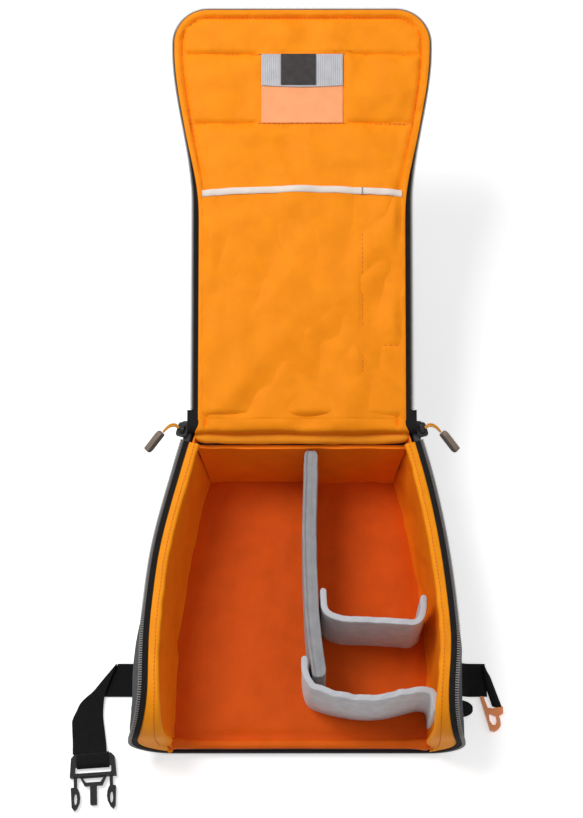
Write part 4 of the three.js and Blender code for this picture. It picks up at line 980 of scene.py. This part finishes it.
def card_pocket():
    """The card pocket's film window, its elastic band and the bare label on the band."""
    x = np.linspace(-CARD_HALF, CARD_HALF, 50)
    t = np.linspace(WINDOW_START, BAND_START + 1, 30)[:, None]
    rise = DOOR_FACE + 1.4 + 0.25 * folds(x, t, 20, 30, 12, 71)
    door_sheet("card_window_film", x, t, rise, rise - 0.6, FILM, ["card_window"], "flap")
    t = np.linspace(BAND_START, BAND_END, 30)[:, None]
    t = t - 1.2 * (1 - (x / CARD_HALF) ** 2) * (BAND_END - t) / (BAND_END - BAND_START)
    rise = DOOR_FACE + 2.3 + 0.2 * folds(x, t, 85, 30, 10, 72)
    door_sheet("card_band_elastic", x, t, rise, rise - 0.8, ELASTIC, ["card_band"], "flap")
    x = np.linspace(LABEL_LEFT, LABEL_RIGHT, 24)
    t = np.linspace(BAND_START + 0.3, BAND_END - 0.1, 24)[:, None]
    rise = DOOR_FACE + 3.4
    door_sheet("card_label_cloth", x, t, rise, rise - 0.8, LABEL, ["card_label"], "flap")


# Dividers

BOARD_BOTTOM = FLOOR_Z + GAP + 0.3
BOARD_TOP = BODY_DEPTH - 16.0
LONG_THICK = 10.0
CROSS_THICK = 4.6


def board(node, plan, thick, top, look, wobble, seed, ridges=False):
    """A padded board that stands on a smooth line in plan; top gives its height at a share of its
    length, and ridges give its top a bound edge on either side."""
    count = 150
    path = smooth_path(plan, count)
    t = tangents(path)
    side = points_of(-t[:, 1], t[:, 0])
    half = thick / 2
    edge = min(1.1, half * 0.6)
    if ridges:
        crown = [(1.0, -0.3), (1.02, 0.9), (0.86, 1.5), (0.66, 1.3), (0.56, 0.2), (0.42, -0.1),
                 (0.2, 0.5), (0.0, 0.65)]
    else:
        crown = [(1.0, -edge), (0.97, -edge * 0.45), (0.86, -0.12), (0.6, 0.0), (0.2, 0.12)]
    crown += [(-across, rise) for across, rise in crown[::-1] if across > 0]
    across, rise = np.array(crown).T
    s = np.linspace(0, 1, count)[:, None]
    end = clamp(np.minimum(s, 1 - s) * path_length(path) / max(half, 1.5))
    squeeze = half * (0.45 + 0.55 * np.sqrt(end * (2 - end)))
    sway = wobble * noise(s * 9, 1.7, seed)
    ripple = 0.35 * wobble * noise(s * 26, 3.1, seed + 2)

    # One face of the board from its top down, which the other face mirrors
    share = np.linspace(0.97, 0.0, 20)
    bulge = 1 + 0.1 * np.sin(math.pi * share) + 0.05 * noise(s * 8, share * 4, seed + 1)
    face_z = BOARD_BOTTOM + (top(s) - edge - BOARD_BOTTOM) * share
    bend = 1.8 * wobble * noise(s * 5, share * 2.2, seed + 3) * share * (1 - share)
    face_off = (sway + ripple * share) * share + bend
    across = np.hstack([across + 0 * s, -bulge, bulge[:, ::-1]])
    off = np.hstack([sway + ripple + 0 * rise, face_off, face_off[:, ::-1]])
    z = np.hstack([top(s) + rise + 0.3 * ripple, face_z, face_z[:, ::-1]])
    x, y = np.moveaxis(path[:, None] + side[:, None] * (across * squeeze + off)[..., None], -1, 0)
    rings = points_of(x, y, z)
    piece = loft(node + "_padded", rings, look, node, [node], sharp=60)
    return rings


def dividers():
    """The long divider with bound top edges, and the two cross dividers, each with a light rim."""
    long_plan = [(7.0, 98.2), (6.0, 52.0), (5.5, 12.0), (7.6, -34.0), (12.5, -72.0)]
    board("divider_long", long_plan, LONG_THICK,
          lambda s: BOARD_TOP - 0.6 + 0.5 * np.sin(s * 9) + 6.0 * (1 - smooth(s / 0.35)),
          DIVIDER_DARK, 0.5, 81, True)
    left = 16.0
    right = float(inner_x(np.array(-6.5), np.array(FLOOR_Z))) - 3.8
    upper = [(left - 1.0, -6.8), (left - 0.6, -16.0), (left + 1.6, -24.2), (left + 10, -28.4),
             (34.0, -29.6), (52.0, -30.2), (70.0, -31.2), (right - 6.5, -31.6), (right - 1.2, -26.0),
             (right + 0.8, -12.0)]
    lower = [(1.6, -57.0), (2.8, -68.0), (6.2, -77.0), (14.0, -81.0), (26.0, -84.2), (42.0, -86.6),
             (58.0, -86.2), (72.0, -83.2), (84.0, -80.2), (91.6, -81.2), (94.2, -86.0), (94.4, -96.4)]
    for word, plan, wobble, seed in (("upper", upper, 0.5, 82), ("lower", lower, 1.1, 85)):
        node = f"divider_cross_{word}"
        rings = board(node, plan, CROSS_THICK, lambda s: BOARD_TOP - 0.4 + 1.1 * noise(s * 6, 0.5, seed),
                      DIVIDER_LIGHT, wobble, seed)
        rim = rings[:, 2:8]
        closed_sheet(node + "_top_edge", rim + [0, 0, 0.25], rim - [0, 0, 0.4], PIPING, node)


# Straps, tabs, buckle and hook

STRAP_Y = -56.0
STRAP_ROOT_X = 115.6
STRAP_ROOT_Z = 6.0
LEFT_RUN = 24.0
RIGHT_RUN = 23.0
STRAP_TOP = STRAP_Y + WEBBING_WIDTH / 2
STRAP_LOW_Z = 0.3
STRAP_REST_Z = STRAP_LOW_Z + WEBBING_THICK
TAB_THICK = 2.6

# Edges of the left strap's folded end, from its fold and in shares of the webbing's width
LEFT_OUTER_EDGE = [(-0.03, -0.02), (-0.4, -0.48), (-0.74, -0.91), (-1.05, -1.2), (-1.16, -1.43),
                   (-1.276, -1.72), (-1.27, -1.94), (-1.23, -2.35), (-1.19, -2.756)]
LEFT_INNER_EDGE = [(-0.02, -0.05), (-0.14, -0.36), (-0.25, -0.68), (-0.34, -0.97), (-0.37, -1.25),
                   (-0.364, -1.6), (-0.3, -2.0), (-0.24, -2.35), (-0.19, -2.676)]

# Where the left strap wraps the buckle's bar, and how far it is turned
WRAP_PLACE = (-154.5, -111.7, 0.0)
WRAP_TILT = math.radians(4.0)
WRAP_THICK = 1.3


def flat_webbing(name, front, thick, node, replaces=()):
    """Webbing with a given upper face."""
    closed_sheet(name, front, front - [0, 0, thick], BLACK_WEBBING, node, replaces)


def strap_run(word, side, end):
    """A strap's first stretch, from its seam down to the floor; end gives its last x at each share
    of the webbing's width."""
    v = np.linspace(0, 1, 21)
    y = STRAP_TOP - WEBBING_WIDTH * v
    root = STRAP_ROOT_X - 3
    x = root + (end(v) - root) * np.linspace(0, 1, 44)[:, None]
    drop = 1 - smooth((x - root) / 14)
    z = STRAP_REST_Z + (STRAP_ROOT_Z - STRAP_LOW_Z) * drop + 0.3 * noise(x / 9, y / 11, 90 + side)
    flat_webbing(f"strap_{word}_run", points_of(side * x, y, z), WEBBING_THICK, f"strap_{word}",
                 [f"strap_{word}"])


def left_strap():
    """The left strap, folded over on the floor and wrapped round the buckle's bar."""
    fold = STRAP_ROOT_X + LEFT_RUN
    strap_run("left", -1, lambda v: fold + WEBBING_WIDTH * np.interp(v, [0.02, 0.48, 0.91, 1.0],
                                                                     [0.0, 0.38, 0.72, 0.8]))
    u = np.linspace(0, 1, 21)
    outer, inner = (smooth_path(edge, 60)[:, None] for edge in (LEFT_OUTER_EDGE, LEFT_INNER_EDGE))
    at = outer * (1 - u)[:, None] + inner * u[:, None]
    x = -fold + WEBBING_WIDTH * at[..., 0]
    y = STRAP_TOP + WEBBING_WIDTH * at[..., 1]
    share = np.linspace(0, 1, 60)[:, None]
    edge = np.sqrt(clamp(u / 0.12) * (2 - clamp(u / 0.12)))
    high = STRAP_REST_Z + WEBBING_THICK + 1.2 - 1.6 * (1 - edge) * (1 - smooth((share - 0.3) / 0.15))
    turn = smooth((share - 0.24) / 0.3)
    z = high * (1 - turn) + (STRAP_REST_Z + 0.4) * turn
    z = z + 1.1 * bump(share - 0.42, 0.06) * (1 - u) + 0.35 * folds(x, y, 70, 30, 9, 92)
    z = z + 2.2 * smooth((share - 0.88) / 0.12)
    flat_webbing("strap_left_end", points_of(x, y, z), WEBBING_THICK, "strap_left")
    half = WEBBING_WIDTH / 2 - 0.6
    c, s = math.cos(WRAP_TILT), math.sin(WRAP_TILT)
    wrap = smooth_path([(-1.2, 3.4), (0.6, 6.4), (3.0, 7.6), (6.4, 7.5), (8.8, 6.6), (10.2, 4.6),
                        (10.4, 2.2)], 36)
    t = tangents(wrap)
    v = np.linspace(-half, half, 17)

    def band(off):
        down, z = (wrap + points_of(-t[:, 1], t[:, 0]) * off).T[..., None]
        return WRAP_PLACE + points_of(c * v + s * down, s * v - c * down, z)

    closed_sheet("strap_left_wrap", band(0.0), band(-WRAP_THICK), BLACK_WEBBING, "buckle")


def right_strap():
    """The right strap, whose short folded end holds the hook."""
    end_x = STRAP_ROOT_X + RIGHT_RUN
    strap_run("right", 1, lambda v: end_x + 0.6 * v)
    turn = np.linspace(0, 2 * math.pi, 22, endpoint=False)
    s = np.linspace(0, 1, 50)[:, None]
    left = end_x + WEBBING_WIDTH * np.interp(s, [0, 0.5, 1], [-0.1, -0.03, 0.15])
    right = end_x + WEBBING_WIDTH * np.interp(s, [0, 0.12, 0.25, 1], [0.0, 0.06, 0.15, 0.46])
    half = (right - left) / 2
    x = (left + right) / 2 + half * np.cos(turn)
    y = STRAP_Y + WEBBING_WIDTH * (0.42 - 1.25 * s) - 0.22 * half * np.cos(turn)
    z = 2.6 + 2.2 * np.sin(turn) + 0.15 * noise(s * 7, 2, 95)
    loft("strap_right_fold", points_of(x, y, z), BLACK_WEBBING, "strap_right")


def strap_tabs():
    """The small sewn tabs at the sides."""
    u = np.linspace(0, 1, 26)[:, None]
    v = np.linspace(-1, 1, 15)
    for word, side in SIDES:
        low, high = (np.array(v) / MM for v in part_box(f"strap_tab_{word}"))
        root, tip = (high[0], low[0]) if side < 0 else (low[0], high[0])
        half = (high[1] - low[1]) / 2 * np.sqrt(clamp(1 - (0.97 * u) ** 2.6))
        x = root - 3 * side + (tip - root + 3 * side) * u
        y = (low[1] + high[1]) / 2 + half * v
        z = high[2] + 0.5 * (1 - v ** 2) - 1.6 * u ** 2
        flat_webbing(f"strap_tab_{word}_webbing", points_of(x, y, z), TAB_THICK, BASE,
                     [f"strap_tab_{word}"])


# Hardware

def cad_piece(node, look, bevel):
    """A rigid CAD node that keeps its shape, with a finish and softened edges."""
    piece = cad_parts[node]
    piece.data.materials.clear()
    piece.data.materials.append(look)
    weld = piece.modifiers.new("weld", "WELD")
    weld.merge_threshold = 0.00002
    made = piece.modifiers.new("bevel", "BEVEL")
    made.width = bevel * MM
    made.segments = 3
    made.limit_method = "ANGLE"
    made.angle_limit = math.radians(35)
    made.harden_normals = True


def squarer(value, power):
    """A sine or cosine nearer to -1 or 1, for an outline between a circle and a square."""
    return np.copysign(abs(value) ** power, value)


def zip_garages():
    """The padded cloth ends of the body's zipper, beside the hinge."""
    turn = np.linspace(0, 2 * math.pi, 28, endpoint=False)
    c, s = np.cos(turn), np.sin(turn)
    share = np.linspace(-1, 1, 24)[:, None]
    size = np.sqrt(np.maximum(0.12, 1 - abs(share) ** 3.2))
    for word in ("left", "right"):
        low, high = (np.array(v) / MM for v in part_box(f"zip_garage_{word}"))
        middle, half = (low + high) / 2, (high - low) / 2
        rings = points_of(middle[0] + half[0] * size * squarer(c, 0.6),
                          middle[1] + half[1] * size * squarer(s, 0.6),
                          middle[2] + half[2] * share + 0.3 * noise(c * 2, s * 2 + share * 3, 97))
        loft(f"zip_garage_{word}_cloth", rings, GREY, BASE, [f"zip_garage_{word}"])


# Where the right slider stands, and how far it and its pull are turned
SLIDER_X = 88.9
SLIDER_Y = 109.7
SLIDER_TURN = math.radians(15.03)
CORD_RADIUS = 0.75


def pull_cords():
    """Each pull's cord, a loop of two thin strands from the slider's bridge to the grip."""
    c, s = math.cos(SLIDER_TURN), math.sin(SLIDER_TURN)
    stops = [(2.6, 0.0, 97.4), (5.6, 0.7, 98.8), (9.0, -0.4, 98.4), (11.4, -2.6, 96.9),
             (13.2, -5.2, 95.2)]
    for word, side in SIDES:
        for strand, spread in (("a", 1.0), ("b", -1.0)):
            line = []
            for i, (x, y, z) in enumerate(stops):
                y += spread * (0.35 + 0.45 * math.sin(math.pi * i / 4))
                line.append((side * (SLIDER_X + x * c - y * s), SLIDER_Y + x * s + y * c, z))
            tube(f"pull_cord_{word}_{strand}", smooth_path(line, 40), CORD_RADIUS, CORD, f"pull_{word}",
                 [f"pull_cord_{word}"] if strand == "a" else ())


def hardware():
    """The sliders with their pulls and garages, the buckle and the hook."""
    for word in ("left", "right"):
        cad_piece(f"slider_{word}", BLACK_METAL, 0.4)
        cad_piece(f"pull_grip_{word}", GRIP, 1.2)
    zip_garages()
    pull_cords()
    cad_piece("buckle_male", BLACK_PLASTIC, 0.8)
    cad_piece("strap_hook", ORANGE_PLASTIC, 0.9)


# The upper section, its handle and the back pads

PAD_CORNER = 12.0


def soft_pad(node):
    """A back pad: a puffed mesh cushion, flat underneath, that thins towards its rim."""
    low, high = (np.array(v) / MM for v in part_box(node))
    centre, half = (low + high) / 2, (high - low) / 2
    u = np.sin(np.linspace(-math.pi / 2, math.pi / 2, 70))
    v = np.sin(np.linspace(-math.pi / 2, math.pi / 2, 50))[:, None]
    corner_x, corner_y = PAD_CORNER / half[:2]
    near_end = clamp((abs(v) - 1 + corner_y) / corner_y)
    x = centre[0] + half[0] * u * (1 - corner_x * (1 - np.sqrt(clamp(1 - near_end ** 2))))
    y = centre[1] + half[1] * v
    rim = np.minimum(half[0] * (1 - abs(u)), half[1] * (1 - abs(v)))
    swell = np.sqrt(clamp(rim / 5) * (2 - clamp(rim / 5)))
    bottom = low[2] + 0.9 * (1 - swell) + 0.5 * bump(rim - 6, 1.3)
    top = high[2] - 0.5 * (1 - swell)
    sheet = closed_sheet(node + "_mesh", points_of(x, y, top), points_of(x, y, bottom), PAD_MESH,
                         BASE, [node])


def haul_handle():
    """The carrying handle: a padded loop of webbing, sewn to the end of the upper section."""
    low, high = (np.array(v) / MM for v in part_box("haul_handle"))
    reach, half, width = high[1] - low[1], (high[0] - low[0]) / 2, high[2] - low[2]
    turn = np.linspace(-0.06, math.pi + 0.06, 70)
    path = points_of((half - 1.2) * np.cos(turn), low[1] - 0.3 + (reach - 1.2) * np.sin(turn),
                     (low[2] + high[2]) / 2)
    across = points_of(0 * turn, 0, 1)
    normal = unit(np.cross(tangents(path), across))
    ribbon("haul_handle_webbing", path, across, normal, width, 2.2, BLACK_WEBBING, BASE,
           ["haul_handle"], crown=0.3)
    blocks = []
    for off in (-0.38, 0.38):
        line = path + across * off * width + normal * 1.3
        blocks += stitch_blocks(line[4:-4], normal[4:-4], 2.0, 3.2, 0.22)
    many("haul_handle_stitching", blocks, GREY_THREAD, BASE)


UPPER_START_HALF = 78
UPPER_END_HALF = 60
UPPER_END_HEIGHT = 52


def upper_section():
    """The bag's upper part: a rounded box of cloth, lower and narrower towards its end."""
    low, high = (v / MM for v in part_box("upper_section"))
    turn = np.linspace(0, 2 * math.pi, 72, endpoint=False)
    c, s = np.cos(turn), np.sin(turn)
    share = np.linspace(0, 1, 60)[:, None]
    round_off = np.sqrt(1 - 0.3 * clamp((share - 0.8) / 0.2) ** 2)
    half = (UPPER_START_HALF + (UPPER_END_HALF - UPPER_START_HALF) * share) * round_off
    tall = (high.z - low.z + (UPPER_END_HEIGHT - high.z + low.z) * share) * round_off / 2
    seam = 1 - 0.012 * bump(share - 0.16, 0.012) - 0.012 * bump(share - 0.93, 0.012)
    dent = 1 + 0.012 * noise(share * 7, turn * 1.6, 99) * smooth(s + 0.6)
    x = half * squarer(c, 0.38) * seam * dent
    z = PAD_THICK + GAP + tall + tall * squarer(s, 0.38) * seam * np.where(s > 0, dent, 1)
    rings = points_of(x, low.y + (high.y - low.y) * share, z)
    piece = loft("upper_section_bag", rings, GREY, BASE, ["upper_section"])
    for word, row in (("near", 9), ("end", 56)):
        line = rings[row, 2:35]
        out = unit(line - [0, line[0, 1], (high.z + low.z) / 2])
        many(f"upper_section_stitching_{word}", stitch_blocks(line + out * 0.3, out, 2.4, 3.6),
             GREY_THREAD, BASE)
    haul_handle()
    for node in ("upper_pad", "back_pad_lower", "back_pad_middle", "back_pad_upper"):
        soft_pad(node)


# Floor, light and camera

WORLD_LIGHT = 0.27
FLOOR_GLOW = 0.52
FLOOR_HALF = 3.0

# The camera fitted to the photo, in metres
CAMERA_PLACE = (0, -0.3362, 1.1346)
CAMERA_TILT = math.radians(24.0)
LENS = 66.94
SENSOR = 36.0
PHOTO_HEIGHT = 818
PHOTO_SHIFT = -10.5


def camera_ray_share(nodes, links):
    """1 for what the camera sees straight, in gloss or through glass."""
    path = nodes.new("ShaderNodeLightPath")
    share = path.outputs["Is Camera Ray"]
    for kind in ("Is Glossy Ray", "Is Transmission Ray"):
        larger = nodes.new("ShaderNodeMath")
        larger.operation = "MAXIMUM"
        links.new(share, larger.inputs[0])
        links.new(path.outputs[kind], larger.inputs[1])
        share = larger.outputs[0]
    return share


def white_world():
    """A white world that gives little light and is seen as plain white."""
    world = bpy.data.worlds.new("studio")
    world.use_nodes = True
    nodes, links = world.node_tree.nodes, world.node_tree.links
    lit = nodes["Background"]
    seen = nodes.new("ShaderNodeBackground")
    for background in (lit, seen):
        background.inputs["Color"].default_value = (1, 1, 1, 1)
    lit.inputs["Strength"].default_value = WORLD_LIGHT
    mix = nodes.new("ShaderNodeMixShader")
    links.new(camera_ray_share(nodes, links), mix.inputs[0])
    links.new(lit.outputs[0], mix.inputs[1])
    links.new(seen.outputs[0], mix.inputs[2])
    links.new(mix.outputs[0], nodes["World Output"].inputs["Surface"])
    return world


def studio_floor():
    """A wide pale floor that glows a little for the camera alone."""
    look = bpy.data.materials.new("studio_floor")
    look.use_nodes = True
    nodes, links = look.node_tree.nodes, look.node_tree.links
    cloth = nodes["Principled BSDF"]
    cloth.inputs["Base Color"].default_value = (0.9, 0.9, 0.9, 1)
    cloth.inputs["Roughness"].default_value = 0.9
    glow = nodes.new("ShaderNodeEmission")
    links.new(camera_ray_share(nodes, links), glow.inputs["Strength"])
    glow.inputs["Color"].default_value = (FLOOR_GLOW, FLOOR_GLOW, FLOOR_GLOW, 1)
    add = nodes.new("ShaderNodeAddShader")
    links.new(cloth.outputs[0], add.inputs[0])
    links.new(glow.outputs[0], add.inputs[1])
    links.new(add.outputs[0], nodes["Material Output"].inputs["Surface"])
    mesh = bpy.data.meshes.new("studio_floor")
    corners = [(x * FLOOR_HALF, y * FLOOR_HALF, 0) for x, y in ((-1, -1), (1, -1), (1, 1), (-1, 1))]
    mesh.from_pydata(corners, [], [(0, 1, 2, 3)])
    mesh.materials.append(look)
    ground = bpy.data.objects.new("studio_floor", mesh)
    bpy.context.scene.collection.objects.link(ground)


def lamp(name, place, target, power, size):
    data = bpy.data.lights.new(name, "AREA")
    data.energy = power
    data.size = size
    made = bpy.data.objects.new(name, data)
    made.location = place
    made.rotation_euler = Vector(np.subtract(target, place)).to_track_quat("-Z", "Y").to_euler()
    bpy.context.scene.collection.objects.link(made)


def studio():
    scene = bpy.context.scene
    scene.view_settings.view_transform = "Standard"
    scene.world = white_world()
    studio_floor()
    lamp("key", (-0.58, 0.36, 1.35), (0, 0.15, 0.05), 13.5, 0.6)
    lamp("fill", (0.8, 0.0, 1.4), (0, 0.1, 0.05), 4.7, 1.4)
    camera = bpy.data.cameras.new("camera")
    camera.sensor_fit = "VERTICAL"
    camera.sensor_height = SENSOR
    camera.sensor_width = SENSOR
    camera.lens = LENS
    camera.shift_x = PHOTO_SHIFT / PHOTO_HEIGHT
    seen_from = bpy.data.objects.new("camera", camera)
    seen_from.location = CAMERA_PLACE
    seen_from.rotation_euler = (CAMERA_TILT, 0, 0)
    scene.collection.objects.link(seen_from)
    scene.camera = seen_from


side_walls()
body_zipper()
floor_panels()
open_end()
far_wall()
hinge_roll()
hinge_cloth()
door_panel()
door_zipper()
door_stitching()
door_pockets()
card_pocket()
dividers()
left_strap()
right_strap()
strap_tabs()
hardware()
upper_section()
studio()
